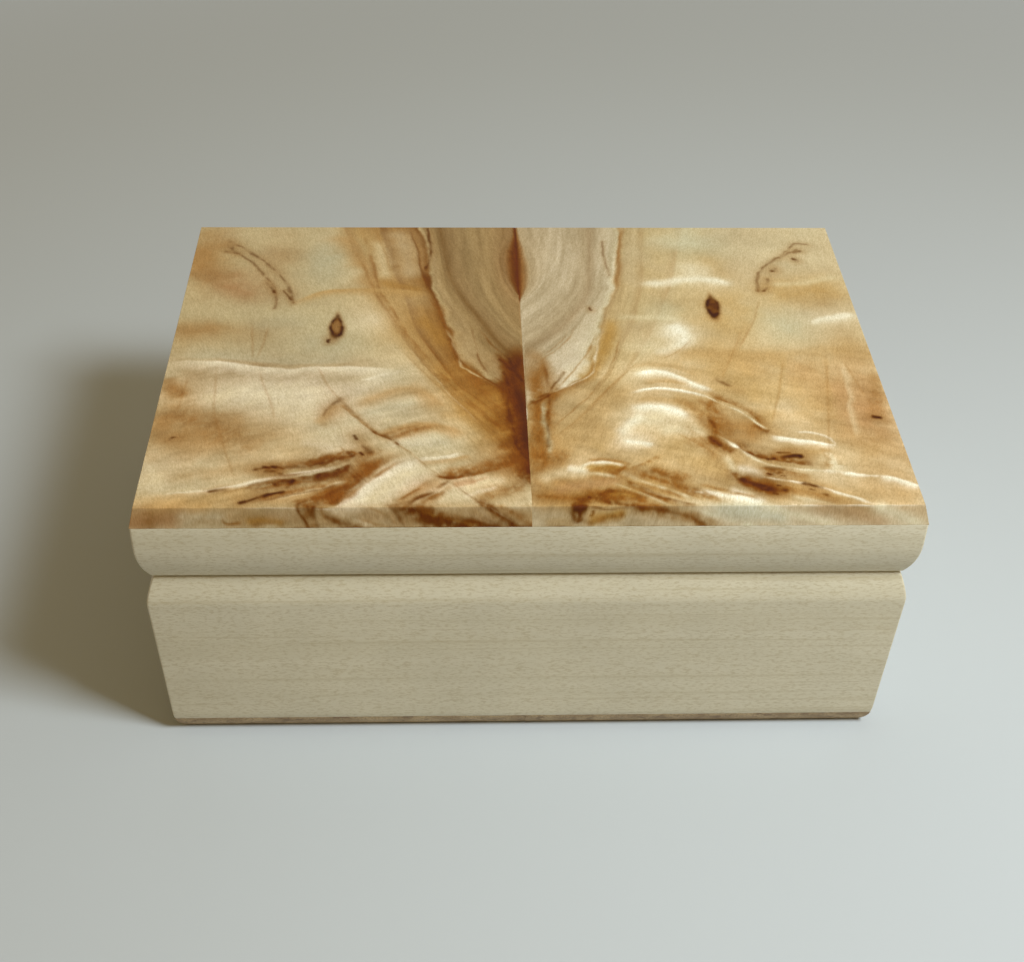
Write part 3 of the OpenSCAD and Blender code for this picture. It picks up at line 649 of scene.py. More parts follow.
# White and cream strokes on the fold crests are painted highlights of the silky sheen, and the dark strokes that
# flank them are painted shade; the other strokes are the wood's own figure.
STROKES_LEFT = [
    ([(0, 90), (-2.5, 106.5), (-3, 123.5), (-1.5, 143.5), (0, 155)], 5, 5, "umber", 0.75),
    ([(-27, 90), (-17, 108.5), (-8.5, 126.5), (-1.5, 143.5)], 7, 6, "brown", 0.5),
    ([(-10.5, 103.5), (-5.5, 120), (-1.5, 138.5)], 5, 4, "umber", 0.6),
    ([(-70.5, 158), (-63.5, 156.5), (-57, 153)], 0.6, 3.2, "umber", 0.77),
    ([(-65.5, 175), (-58.5, 166.5), (-52, 158.5), (-44.5, 151)], 5, 0.52, "brown", 0.88),
    ([(-63.5, 175.5), (-54.5, 166.5), (-45.5, 157.5), (-35.5, 150)], 0.52, 6.5, "white", 0.94),
    ([(-75.5, 173.5), (-67, 168.5), (-57, 163)], 0.52, 3, "umber", 0.55),
    ([(-70.5, 131.5), (-67, 126.5), (-63, 119)], 2, 4, "tan", 0.5),
    # Painted highlight: a thin bright line along the arris of the front bevel.
    ([(-92, 174.5), (-70.5, 174), (-55.5, 174.5)], 0.3, 0.45, "white", 0.72),
    ([(-115.5, 116.5), (-120.5, 110), (-123, 103.5)], 3, 3, "brown", 0.5),
    ([(-123.5, 126.5), (-110.5, 128.5), (-97, 138.5), (-87, 146.5)], 7, 5, "brown", 0.35),
    ([(-0.5, 83.5), (-3, 96.5), (-4, 110), (-3, 126.5), (-1.5, 143.5), (-0.5, 156.5)], 4, 4, "umber", 0.8),
    ([(-8.5, 91), (-4.5, 100), (-3, 110)], 2, 3, "umber", 0.55),
    ([(-70.5, 5), (-63.5, 20), (-59.5, 33.5)], 2, 5, "tan", 0.5),
    ([(-47, 0), (-43.5, 20), (-39.5, 41.5)], 6, 5, "beige", 0.85),
    ([(-54.5, 10), (-52, 26.5), (-49.5, 41.5)], 3, 3, "cream", 0.6),
    ([(-56, 0), (-52, 16.5), (-48, 38.5)], 0.45, 0.6, "brown", 0.22),
    ([(-42, 0), (-39.5, 15), (-37, 31.5), (-34, 48.5)], 2.6, 0.52, "umber", 0.61),
    ([(-18.5, 110), (-10.5, 126.5), (-3, 141.5)], 5, 4, "amber", 0.5),
    ([(-18.5, 103.5), (-8.5, 116.5), (-1, 123.5)], 3, 4, "brown", 0.6),
    ([(-32, 93.5), (-22, 113.5), (-8.5, 133.5), (-1, 146.5)], 3, 3, "amber", 0.45),
    ([(-83.5, 154), (-70.5, 152.5), (-58.5, 148.5), (-47, 146)], 2.5, 2.5, "brown", 0.6),
    ([(-122, 174), (-105.5, 170), (-85.5, 164)], 3, 5, "gold", 0.7),
    ([(-67, 0), (-60.5, 20), (-57, 36.5), (-50.5, 55)], 1.5, 4, "tan", 0.55),
    ([(-61, 0), (-57, 18.5), (-53.5, 41.5), (-45.5, 66.5), (-35.5, 90), (-22, 113.5), (-8.5, 133.5), 
      (-0.5, 148.5)], 0.6, 0.9, "brown", 0.55),
    ([(-68, 5), (-58.5, 31.5), (-52, 53.5), (-42, 78.5), (-29.5, 103.5), (-17, 123.5), 
      (-2, 141.5)], 0.38, 0.68, "brown", 0.32),
    ([(-53.5, 41.5), (-42, 46.5), (-34.5, 48.5)], 2, 3, "amber", 0.45),
    ([(-83.5, 57), (-78, 51.5), (-70.5, 48), (-58.5, 47), (-45.5, 48.5), (-33.5, 50.5)], 0.9, 3.2, "gold", 0.83),
    ([(-67, 43.5), (-63.5, 36.5), (-58.5, 33.5)], 3, 3, "cream", 0.5),
    ([(-38.5, 66.5), (-32, 73.5), (-27, 86.5)], 3, 3, "amber", 0.5),
    ([(-25.5, 93.5), (-18.5, 106.5), (-8.5, 120), (-1, 131.5)], 4, 4, "amber", 0.5),
    ([(-123.5, 95.5), (-115.5, 94), (-105.5, 95), (-92, 98.5), (-82, 100), (-70.5, 98.5), (-55.5, 98.5), 
      (-42, 101)], 0.75, 4, "white", 0.77),
    ([(-123.5, 91.5), (-105.5, 91.5), (-82, 96), (-58.5, 94)], 5, 1.5, "grey", 0.5),
    ([(-58.5, 107.5), (-52, 104), (-42, 101)], 0.75, 0.9, "white", 0.88),
    ([(-58.5, 122.5), (-53.5, 117.5), (-45.5, 112.5), (-38, 110.5), (-32, 115), (-27, 123.5)], 2.6, 5, "tan", 0.65),
    ([(-50.5, 138.5), (-43.5, 133.5), (-35.5, 131), (-27, 132.5), (-20.5, 138.5)], 1.6, 4.6, "tan", 0.8),
    ([(-49.5, 138.5), (-43.5, 134.5), (-35.5, 132)], 0.6, 1.6, "brown", 0.44),
    ([(-55.5, 126.5), (-47, 121.5), (-35.5, 119)], 4, 2, "grey", 0.5),
    ([(-47, 141.5), (-38.5, 141), (-30.5, 141.5)], 4, 2, "white", 0.35),
    ([(-35.5, 149.5), (-28.5, 149.5), (-22.5, 147.5)], 0.52, 1.6, "white", 0.94),
    ([(-35.5, 151.5), (-25.5, 151), (-18.5, 148.5)], 0.6, 2, "tan", 0.55),
    ([(-18.5, 153.5), (-10.5, 151), (-3, 146.5)], 2, 2, "brown", 0.5),
    ([(-115.5, 167.5), (-100.5, 165.5), (-88, 161.5), (-75.5, 157.5), (-62, 154)], 0.52, 1.4, "white", 0.88),
    ([(-92, 164), (-78.5, 160.5), (-67, 157.5), (-58.5, 156)], 0.45, 3.2, "umber", 0.66),
    ([(-82, 170), (-70.5, 165.5), (-58.5, 161)], 0.6, 0.9, "cream", 0.88),
    ([(-88.5, 172.5), (-75.5, 166.5), (-60.5, 161.5)], 2.5, 0.75, "brown", 0.55),
    ([(-75.5, 154), (-67, 153), (-58.5, 148.5)], 2.5, 3, "umber", 0.55),
    ([(-72, 173.5), (-67, 166.5), (-60.5, 163.5)], 2, 2, "brown", 0.5),
    ([(-59.5, 174), (-52, 165), (-43.5, 156), (-34.5, 150)], 3, 3, "white", 0.75),
    ([(-53.5, 174), (-45.5, 164), (-37, 156)], 2.5, 2.5, "cream", 0.7),
    ([(-18.5, 171.5), (-10.5, 166.5), (-1, 164)], 2.5, 2.5, "brown", 0.5),
    ([(-25.5, 162.5), (-17, 161), (-7, 161.5)], 2.5, 2.5, "cream", 0.6),
    ([(-122, 150), (-118.5, 158.5), (-114.5, 167.5)], 3, 5, "cream", 0.6),
    ([(-100.5, 110), (-85.5, 115), (-68.5, 116.5)], 6, 8, "white", 0.4),
    ([(0, 83.5), (-2.5, 98.5), (-5, 113.5), (-4.5, 128.5), (-1.5, 141.5), (0.5, 163.5)], 3.4, 4.6, "umber", 0.8),
    ([(-1.5, 93.5), (-4.5, 106.5), (-2.5, 121.5)], 0.9, 0.9, "black", 0.55),
    ([(0, 106.5), (-2.5, 126.5), (0.5, 153.5)], 2, 2, "black", 0.4),
    ([(-9.5, 88.5), (-5, 98.5), (-0.5, 108.5)], 0.75, 1.3, "umber", 0.66),
    ([(-34.5, 50), (-29.5, 66.5), (-26.5, 78.5), (-23.5, 93.5), (-22.5, 98.5)], 3.5, 0.38, "brown", 0.44),
    ([(-18.5, 101), (-15, 106.5), (-10.5, 115)], 0.6, 4, "brown", 0.66),
    ([(-15.5, 108.5), (-11, 115), (-8, 123.5)], 3, 0.75, "amber", 0.55),
    ([(-18.5, 71.5), (-17.5, 83.5), (-16, 92.5), (-13.5, 99), (-8.5, 106.5), (-3, 115), 
      (0, 119)], 0.34, 0.45, "umber", 0.47),
    ([(-16, 73.5), (-13, 81.5), (-8, 88.5), (-3.5, 96), (0, 106.5)], 0.38, 0.6, "umber", 0.43),
    ([(-6.5, 88.5), (-4, 96.5), (-2, 103.5), (0, 110)], 0.52, 0.75, "black", 0.5),
    ([(-8.5, 110), (-7.5, 120), (-6.5, 130)], 0.38, 0.75, "umber", 0.66),
    ([(-38.5, 71.5), (-34, 83.5), (-29.5, 94), (-25.5, 103.5), (-18.5, 114), (-12, 122.5), 
      (-4, 132)], 0.34, 0.41, "brown", 0.43),
    ([(-43.5, 78.5), (-37, 93.5), (-29.5, 106.5), (-22, 120), (-15, 132.5)], 0.3, 0.38, "cream", 0.39),
    ([(-27.5, 73.5), (-24.5, 84), (-22.5, 93.5), (-22, 98.5), (-19, 100), (-16.5, 102.5), (-13.5, 105.5), 
      (-9.5, 110)], 0.52, 0.38, "cream", 0.61),
    ([(-63.5, 118), (-58.5, 125), (-54, 132), (-50.5, 136), (-45.5, 140)], 1.4, 0.45, "brown", 0.42),
    ([(-54.5, 131), (-51, 135.5), (-47, 138.5), (-43.5, 140.5)], 0.75, 0.45, "umber", 0.72),
    ([(-46, 139.5), (-42, 136.5), (-37, 134), (-31.5, 132)], 0.68, 2, "brown", 0.55),
    ([(-45.5, 140), (-39.5, 145.5), (-34.5, 151), (-30.5, 156.5), (-27, 161)], 0.3, 0.34, "brown", 0.29),
    ([(-75.5, 141), (-68.5, 142.5), (-63, 146.5)], 2, 2, "white", 0.3),
    ([(-56.5, 163.5), (-59.5, 168.5), (-63.5, 173)], 1.5, 2.4, "umber", 0.55),
    ([(-26.5, 161.5), (-31.5, 166.5), (-37.5, 171), (-41.5, 174)], 0.38, 0.6, "umber", 0.54),
    ([(-32, 161), (-37, 166.5), (-43, 172.5)], 0.45, 2.2, "pink", 0.55),
    ([(-25, 162.5), (-28.5, 167), (-35.5, 173.5)], 0.45, 1.6, "brown", 0.44),
    ([(-30, 159), (-25.5, 160.5), (-18.5, 158.5), (-10.5, 155), (-2.5, 150.5)], 3.4, 0.45, "brown", 0.72),
    ([(-30, 159), (-25.5, 160.5), (-21, 159.5)], 0.9, 0.45, "umber", 0.66),
    ([(-26, 161), (-20.5, 167), (-15.5, 173.5), (-10, 178)], 0.34, 0.45, "umber", 0.32),
    ([(-23.5, 164), (-18.5, 161.5), (-13.5, 159)], 0.45, 0.6, "pink", 0.5),
    ([(-22, 170), (-17, 166.5), (-10, 164)], 0.75, 0.9, "white", 0.39),
    ([(-55, 146), (-54, 147.5), (-53.5, 148.5)], 0.45, 0.45, "black", 0.83),
    ([(-59, 148.5), (-58, 146), (-56, 147), (-57, 149), (-59, 149.5)], 0.38, 0.38, "brown", 0.72),
    ([(-61.5, 144), (-60.5, 146.5)], 0.34, 0.34, "brown", 0.55),
    ([(-44, 140.5), (-42.5, 142.5)], 0.45, 0.45, "umber", 0.66),
    ([(-88.5, 155.5), (-85.5, 154.5), (-82.5, 154.5)], 0.52, 0.6, "black", 0.99),
    ([(-83, 154), (-80.5, 154.5), (-79, 156)], 0.38, 0.38, "black", 0.83),
    ([(-82.5, 163), (-78.5, 161), (-74.5, 160.5)], 0.52, 1.3, "umber", 0.83),
    ([(-84.5, 169), (-78.5, 167), (-71.5, 164)], 0.52, 1.3, "brown", 0.66),
    ([(-70.5, 151), (-64.5, 149), (-58.5, 145.5)], 0.6, 1.6, "brown", 0.5),
    ([(-81.5, 159), (-73.5, 157.5), (-66.5, 155.5)], 0.38, 0.75, "umber", 0.55),
    ([(-88, 166.5), (-77, 162), (-68, 160.5)], 0.45, 0.83, "brown", 0.61),
    ([(-97, 166.5), (-89.5, 164.5), (-81.5, 161.5)], 0.38, 0.68, "brown", 0.32),
    ([(-85.5, 172), (-75.5, 167.5), (-66.5, 165), (-59.5, 162)], 0.6, 0.45, "umber", 0.4),
    ([(-75.5, 171.5), (-68, 168.5), (-63.5, 164)], 0.68, 1.4, "brown", 0.55),
    ([(-115.5, 168.5), (-103.5, 166.5), (-92.5, 164)], 0.52, 1.8, "gold", 0.55),
    ([(-41.5, 0), (-38.5, 16.5), (-35, 37.5)], 1.8, 0.68, "tan", 0.61),
    ([(-8.5, 91), (-10.5, 100), (-8, 106.5)], 0.9, 0.9, "beige", 0.39),
    ([(0, 93.5), (-4, 115), (-2.5, 140), (0, 160)], 6, 6, "brown", 0.4),
    ([(-8.5, 143.5), (-4.5, 153.5), (0, 164)], 5, 4, "brown", 0.35),
    # Painted shade: a darker, browner band over the whole front bevel.
    ([(-112, 178), (-57, 178), (14, 178)], 4, 4, "tan", 0.45),
    ([(-135, 178.5), (-119, 178.5), (-106, 177.5)], 3.4, 3.4, "pink", 0.75),
    ([(-119.5, 175), (-118.5, 178), (-118, 181.5)], 2, 2, "brown", 0.4),
    ([(-111.5, 178), (-103.5, 177.5), (-94, 177.5)], 2.6, 2.6, "grey", 0.5),
    ([(-96.5, 177), (-96.5, 179), (-94.5, 180), (-91, 179.5), (-90.5, 178.5)], 0.6, 0.6, "brown", 0.75),
    ([(-89.5, 179.5), (-85.5, 178.5), (-80.5, 178.5), (-76.5, 180)], 1.5, 1.5, "amber", 0.8),
    ([(-87.5, 180.5), (-84, 179.5), (-80, 180)], 0.9, 0.9, "brown", 0.6),
    ([(-84, 176.5), (-77.5, 177), (-71, 177)], 2.5, 2.5, "beige", 0.6),
    ([(-71, 171.5), (-70, 175), (-68.5, 178), (-67.5, 182)], 2.4, 2.4, "brown", 0.5),
    ([(-73, 172), (-72.5, 175), (-70.5, 178), (-69.5, 182)], 0.6, 0.6, "umber", 0.8),
    ([(-67.5, 172), (-68, 175), (-67, 178), (-66.5, 182)], 0.8, 0.8, "umber", 0.85),
    ([(-70, 172.5), (-69, 175), (-68, 177.5)], 0.7, 0.7, "umber", 0.6),
    ([(-65.5, 172.5), (-65.5, 175), (-64, 178)], 0.6, 0.6, "brown", 0.6),
    ([(-65, 175), (-62.5, 178), (-57, 180.5), (-48.5, 181)], 1.1, 1.1, "umber", 0.55),
    ([(-64, 174), (-57, 177), (-48.5, 180.5)], 1.3, 1.3, "cream", 0.7),
    ([(-55.5, 174.5), (-48.5, 177.5), (-40.5, 181)], 1.8, 1.8, "beige", 0.55),
    ([(-60, 175.5), (-53, 178.5), (-43.5, 181)], 0.5, 0.5, "brown", 0.5),
    ([(-52.5, 174.5), (-46, 177), (-41.5, 180.5)], 0.5, 0.5, "brown", 0.45),
    ([(-45.5, 173.5), (-43, 176.5), (-39.5, 181)], 0.7, 0.7, "umber", 0.6),
    ([(-46, 173.5), (-33.5, 177), (-22.5, 179.5), (-6.5, 181.5)], 2.2, 2.2, "umber", 0.95),
    ([(-37.5, 177.5), (-28, 180.5), (-10, 181.5)], 1.9, 1.9, "umber", 0.8),
    ([(-37.5, 175), (-28.5, 176.5), (-21, 178)], 1.1, 1.1, "brown", 0.5),
    ([(-35, 176), (-25.5, 178.5), (-16, 180.5)], 0.5, 0.5, "amber", 0.5),
    ([(-31, 174.5), (-21.5, 176), (-15.5, 178.5), (-10.5, 181.5)], 0.8, 0.8, "beige", 0.6),
    ([(-18.5, 173), (-14.5, 177), (-9, 181.5)], 0.8, 0.8, "beige", 0.6),
    ([(-18, 171), (-13.5, 173.5), (-9.5, 177.5), (-4, 182)], 1.5, 1.5, "umber", 0.8),
    ([(-10.5, 173), (-5, 177), (1.5, 181.5)], 1.3, 1.3, "brown", 0.6),
    ([(-13.5, 173.5), (-10, 176.5), (-5, 180)], 0.4, 0.4, "cream", 0.4),
    ([(-10, 181.5), (-3.5, 181), (2, 181.5)], 0.7, 0.7, "umber", 0.6),
    ([(-80.5, 181.5), (-49, 181), (-17.5, 181.5)], 0.4, 0.4, "umber", 0.45),
    ([(-43.5, 175), (-36, 167), (-27, 160.5)], 3.2, 3.2, "tan", 0.5),
    ([(-40, 174.5), (-36.5, 171), (-32.5, 168.5), (-29.5, 165.5), (-25.5, 161)], 0.6, 0.6, "umber", 0.7),
    ([(-42, 171.5), (-38.5, 168.5), (-34.5, 165)], 0.5, 0.5, "brown", 0.6),
    ([(-35.5, 173.5), (-31, 169.5), (-26.5, 166.5)], 1.4, 1.4, "brown", 0.45),
    ([(-30, 157.5), (-25.5, 158.5), (-18.5, 156.5), (-9.5, 153.5)], 2.2, 2.2, "brown", 0.55),
    ([(-30.5, 158.5), (-27.5, 160), (-25, 160), (-21.5, 159), (-17, 157)], 0.9, 0.9, "umber", 0.5),
    ([(-25, 163.5), (-21, 161.5), (-17.5, 160.5)], 1.8, 1.8, "pink", 0.6),
    ([(-55.5, 149), (-51, 154), (-50, 161)], 3, 3, "brown", 0.5),
    ([(-60, 153.5), (-56.5, 158.5), (-53, 163.5)], 0.8, 0.8, "umber", 0.65),
    ([(-57.5, 153.5), (-54.5, 158.5), (-51.5, 162.5)], 0.6, 0.6, "umber", 0.5),
    ([(-64.5, 172.5), (-60.5, 168), (-57, 163.5)], 2.2, 2.2, "brown", 0.6),
    ([(-40.5, 150.5), (-46, 156.5), (-50, 160.5), (-54.5, 165), (-59.5, 171)], 0.8, 0.8, "brown", 0.5),
    ([(-4.5, 135), (-2.5, 146.5), (-1, 155), (0.5, 165)], 2.4, 2.4, "umber", 0.55),
    ([(-10.5, 141), (-6, 146.5), (-1.5, 152.5)], 3, 3, "brown", 0.45),
    # Painted shade: a darker band over the whole front bevel.
    ([(-135, 178), (-65, 178), (21.5, 178)], 3.6, 3.6, "brown", 0.22),
    ([(-5.5, 106.5), (-3, 126.5), (-1.5, 143.5), (0.5, 165)], 2.8, 2.8, "umber", 0.6),
    ([(-3.5, 106.5), (-1.5, 126.5), (-0.5, 143.5), (0.5, 160)], 1.6, 1.6, "black", 0.3),
]
MARKS_LEFT = [
    ([(-111, 12.5), (-105.5, 17.5), (-98.5, 25), (-93.5, 31.5), (-89.5, 38.5), (-86, 45), (-84.5, 50), 
      (-83.5, 56.5)], 0.9, 0.45),
    ([(-83.5, 56.5), (-85.5, 52), (-87.5, 48.5)], 0.4, 0.5),
    ([(-112, 20), (-107, 21.5), (-100.5, 28.5), (-95.5, 37.5), (-91, 46.5), (-89.5, 55), (-89.5, 60.5)], 0.5, 0.4),
    ([(-110.5, 16), (-109.5, 18.5), (-107.5, 21.5)], 1.3, 0.5),
    ([(-94.5, 43), (-92, 47), (-91, 49.5)], 0.9, 0.65),
    ([(-69, 80.5), (-69, 82.5)], 1, 0.9),
    ([(-87.5, 155), (-85.5, 154), (-83.5, 154.5)], 1.6, 1),
    ([(-84.5, 156.5), (-81.5, 156)], 1.5, 1),
    ([(-82.5, 154), (-80.5, 154.5)], 1.2, 0.9),
    ([(-80.5, 157), (-79.5, 157.5)], 1, 0.8),
    ([(-80, 154.5), (-70.5, 153.5), (-61, 149.5)], 1.3, 0.42),
    ([(-80, 162.5), (-75.5, 161)], 1.4, 0.85),
    ([(-77, 164), (-75, 161)], 0.9, 0.7),
    ([(-90.5, 172), (-86, 169.5), (-78, 166.5)], 1.1, 0.8),
    ([(-100.5, 166), (-96.5, 165)], 0.7, 0.7),
    ([(-57, 137.5), (-56.5, 139.5)], 2.2, 0.85),
    ([(-58.5, 146.5), (-57, 148.5)], 1.6, 0.5),
    ([(-52.5, 144.5), (-51.5, 146.5)], 1.8, 0.5),
    ([(-54.5, 142), (-54, 143.5)], 1, 0.5),
    ([(-62.5, 117.5), (-58.5, 124), (-54.5, 130), (-52, 134.5), (-48.5, 137.5), (-45.5, 139.5)], 0.5, 0.2),
    ([(-45.5, 139.5), (-39.5, 146), (-32, 156), (-27, 161), (-17, 171), (-10.5, 176.5)], 0.3, 0.1),
    ([(-68, 126), (-66.5, 121.5), (-62.5, 117)], 1.2, 0.4),
    ([(-117.5, 139), (-116, 138)], 1.3, 0.85),
    ([(-34.5, 2.5), (-33, 20), (-34, 27.5), (-35, 33.5)], 0.5, 0.6),
    ([(-7.5, 100), (-5.5, 108.5), (-6.5, 120), (-5, 131.5)], 0.9, 0.5),
    ([(-8.5, 93.5), (-3, 101.5), (-0.5, 106.5)], 0.8, 0.5),
    ([(-5, 133.5), (-4, 143.5), (-1, 150)], 0.9, 0.5),
    ([(-3, 19.5), (-1.5, 21)], 0.9, 0.2),
]
HAIRS_LEFT = [
    [(-106.5, 95), (-105.5, 113.5), (-104.5, 125), (-99.5, 141.5), (-93.5, 161)],
    [(-92, 98.5), (-89, 110), (-86, 119), (-83.5, 130)],
    [(-72, 96.5), (-67, 111), (-62, 118.5)],
    [(-91, 71.5), (-92, 86.5), (-93.5, 93.5)],
    [(-115.5, 103.5), (-117, 126.5)],
    [(-97, 70), (-94.5, 93.5)],
    [(-25.5, 93.5), (-15.5, 113.5), (-1, 133.5)],
    [(-43.5, 86.5), (-32, 106.5), (-15.5, 130), (-2, 146.5)],
]
KNOT_LEFT = (-66.5, 72.5, 2.3, 6.8, 0)
# The left half's tint is partly its own colour and partly painted shade: it is darker, as the light falls off towards
# the left.
TINT_AND_SHADE_LEFT = (0.925, 0.92, 0.91)
RINGS_RIGHT = {
    0.2: [(0, 1), (15, 3), (30, 6), (42, 6), (50, 3), (56, 0)],
    0.4: [(0, 16), (25, 14), (43, 9.7), (50, 6), (58, 0)],
    0.75: [(0, 29), (25, 28), (50, 25.5), (62, 21), (72, 15.5), (88, 1), (90, 0)],
    1.0: [(0, 41.3), (21.7, 38.8), (38.3, 36.7), (50, 35), (60, 31.3), (75, 28), (88.3, 25.5), (98.3, 23.8),
          (106.7, 19.7), (110.8, 13), (115, 8), (120, 0.8)],
    1.5: [(0, 50), (40, 47), (70, 41), (83, 36), (100, 31), (114, 24), (125, 15.5), (132, 8.8), (140, 0)],
    2.0: [(0, 66), (40, 58), (73, 48), (90, 41), (111, 30), (130, 18), (145, 6), (152, 0)],
}
STOPS_RIGHT = [
    (0, (116, 68, 28)), (0.08, (150, 106, 58)), (0.16, (184, 156, 116)), (0.4, (198, 174, 138)),
    (0.55, (194, 170, 134)), (0.7, (182, 156, 118)), (0.75, (168, 140, 102)), (0.82, (194, 170, 134)),
    (0.93, (200, 178, 142)), (0.975, (214, 194, 156)), (1.02, (186, 152, 104)), (1.12, (192, 160, 110)),
    (1.35, (202, 172, 122)), (1.5, (180, 144, 92)), (1.55, (202, 170, 116)), (1.85, (206, 174, 120)),
    (2, (190, 154, 102)), (2.07, (208, 180, 130)), (2.35, (212, 184, 134)), (3, (212, 186, 142)),
]
WASHES_RIGHT = [
    (24.5, 126.5, 28.5, 28.5, 0, "tan", 0.5), (63, 120, 21.5, 36.5, 0, "tan", 0.45),
    (104.5, 126.5, 25, 28.5, 0, "tan", 0.45), (43, 155, 28.5, 18.5, 0, "tan", 0.45),
    (99.5, 166.5, 26.5, 10, 0, "tan", 0.4), (66.5, 13.5, 23.5, 16.5, 0, "grey", 0.6),
    (51.5, 30, 10, 28.5, 0, "beige", 0.55), (54.5, 63.5, 11.5, 10, 0, "grey", 0.55),
    (98, 15, 20, 13.5, 0, "cream", 0.3), (113, 6.5, 15, 10, 0, "cream", 0.3), (108, 28.5, 16.5, 10, 0, "cream", 0.3),
    (74.5, 66.5, 18.5, 21.5, 0, "gold", 0.75), (73, 30, 8.5, 11.5, 0, "gold", 0.4),
    (108, 48.5, 21.5, 10, -5, "gold", 0.75), (96.5, 73.5, 11.5, 13.5, 0, "grey", 0.65),
    (113, 66.5, 11.5, 6.5, 0, "white", 0.3), (91.5, 103.5, 38.5, 18.5, 0, "gold", 0.75),
    (63, 93.5, 18.5, 8.5, 0, "gold", 0.5), (83, 120, 20, 15, 0, "gold", 0.55), (119.5, 86.5, 10, 10, 0, "tan", 0.5),
    (116.5, 130, 11.5, 31.5, 0, "pink", 0.65), (108, 115, 13.5, 13.5, 0, "tan", 0.4),
    (104.5, 150, 10, 6.5, 0, "cream", 0.55), (91.5, 150, 15, 6.5, 0, "tan", 0.5),
    (66.5, 34, 6.5, 5.5, 0, "white", 0.6), (56.5, 77.5, 7.5, 7.5, 0, "white", 0.65),
    (43, 85, 10, 10, 0, "cream", 0.45), (41.5, 73.5, 8.5, 10, 0, "beige", 0.5),
    (5.5, 120, 5.5, 20, 8, "brown", 0.55), (14.5, 123.5, 10, 11.5, 30, "beige", 0.5),
    (24.5, 133.5, 13.5, 15, 30, "tan", 0.6), (41.5, 128.5, 15, 8.5, 0, "cream", 0.65),
    (53, 146.5, 16.5, 13.5, 0, "gold", 0.6), (34.5, 141.5, 8.5, 5, 0, "white", 0.4),
    (4.5, 150, 6.5, 15, 0, "brown", 0.5), (18, 168.5, 18.5, 6.5, 0, "amber", 0.65),
    (34.5, 165, 16.5, 6.5, 20, "amber", 0.6), (49.5, 168.5, 15, 5, 0, "tan", 0.5),
    (71.5, 161.5, 15, 6.5, 10, "umber", 0.55), (64.5, 135, 6, 10, 0, "brown", 0.6),
    (74.5, 136.5, 8.5, 13.5, 30, "brown", 0.45), (58, 173.5, 23.5, 4, 8, "cream", 0.5),
    (96.5, 171.5, 23.5, 5, 12, "tan", 0.55), (114.5, 150, 11.5, 15, 0, "tan", 0.55),
    (116.5, 168.5, 10, 6.5, 0, "tan", 0.3), (89.5, 166.5, 11.5, 4.5, 12, "tan", 0.5),
    (30.5, 81.5, 4.5, 10, 8, "amber", 0.35), (113, 113.5, 13.5, 16.5, 0, "pink", 0.35),
    (96.5, 100, 20, 10, 0, "pink", 0.3), (79.5, 156.5, 5, 3, 10, "beige", 0.5), (68, 164, 5, 6.5, 0, "cream", 0.4),
    (7.5, 146.5, 7.5, 15, 0, "tan", 0.5), (5.5, 160, 7.5, 7.5, 0, "brown", 0.4), (48, 164, 10, 6, 32, "tan", 0.5),
    (18, 161, 11.5, 5, -6, "tan", 0.5), (61.5, 150, 6.5, 10, 0, "tan", 0.4), (8, 168.5, 25, 6.5, 0, "brown", 0.25),
    (39, 100, 8.5, 8.5, 0, "cream", 0.3), (41.5, 166.5, 10, 6.5, 30, "brown", 0.2),
    (59.5, 10, 10, 10, 0, "cream", 0.25), (87, 11, 16.5, 13.5, 0, "umber", 0.11),
    (112, 11, 16.5, 13.5, 0, "umber", 0.06), (87, 33.5, 16.5, 13.5, 0, "umber", 0.1),
    (112, 33.5, 16.5, 13.5, 0, "umber", 0.06), (112, 55.5, 16.5, 13.5, 0, "umber", 0.12),
    (37, 77.5, 13.5, 11.5, 0, "umber", 0.05), (62, 77.5, 16.5, 13.5, 0, "umber", 0.06),
    (112, 77.5, 16.5, 13.5, 0, "brown", 0.13), (12, 100, 11.5, 11.5, 0, "umber", 0.05),
    (112, 144, 16.5, 13.5, 0, "brown", 0.15), (12, 166.5, 13.5, 10, 0, "brown", 0.12),
    (112, 166.5, 15, 10, 0, "umber", 0.05), (7.5, 100, 7.5, 15, -12, "brown", 0.28),
    (10.5, 167.5, 11.5, 7.5, 0, "brown", 0.2), (4, 133.5, 4, 15, 0, "brown", 0.3),
    (58, 58.5, 13.5, 10, 0, "umber", 0.05),
]
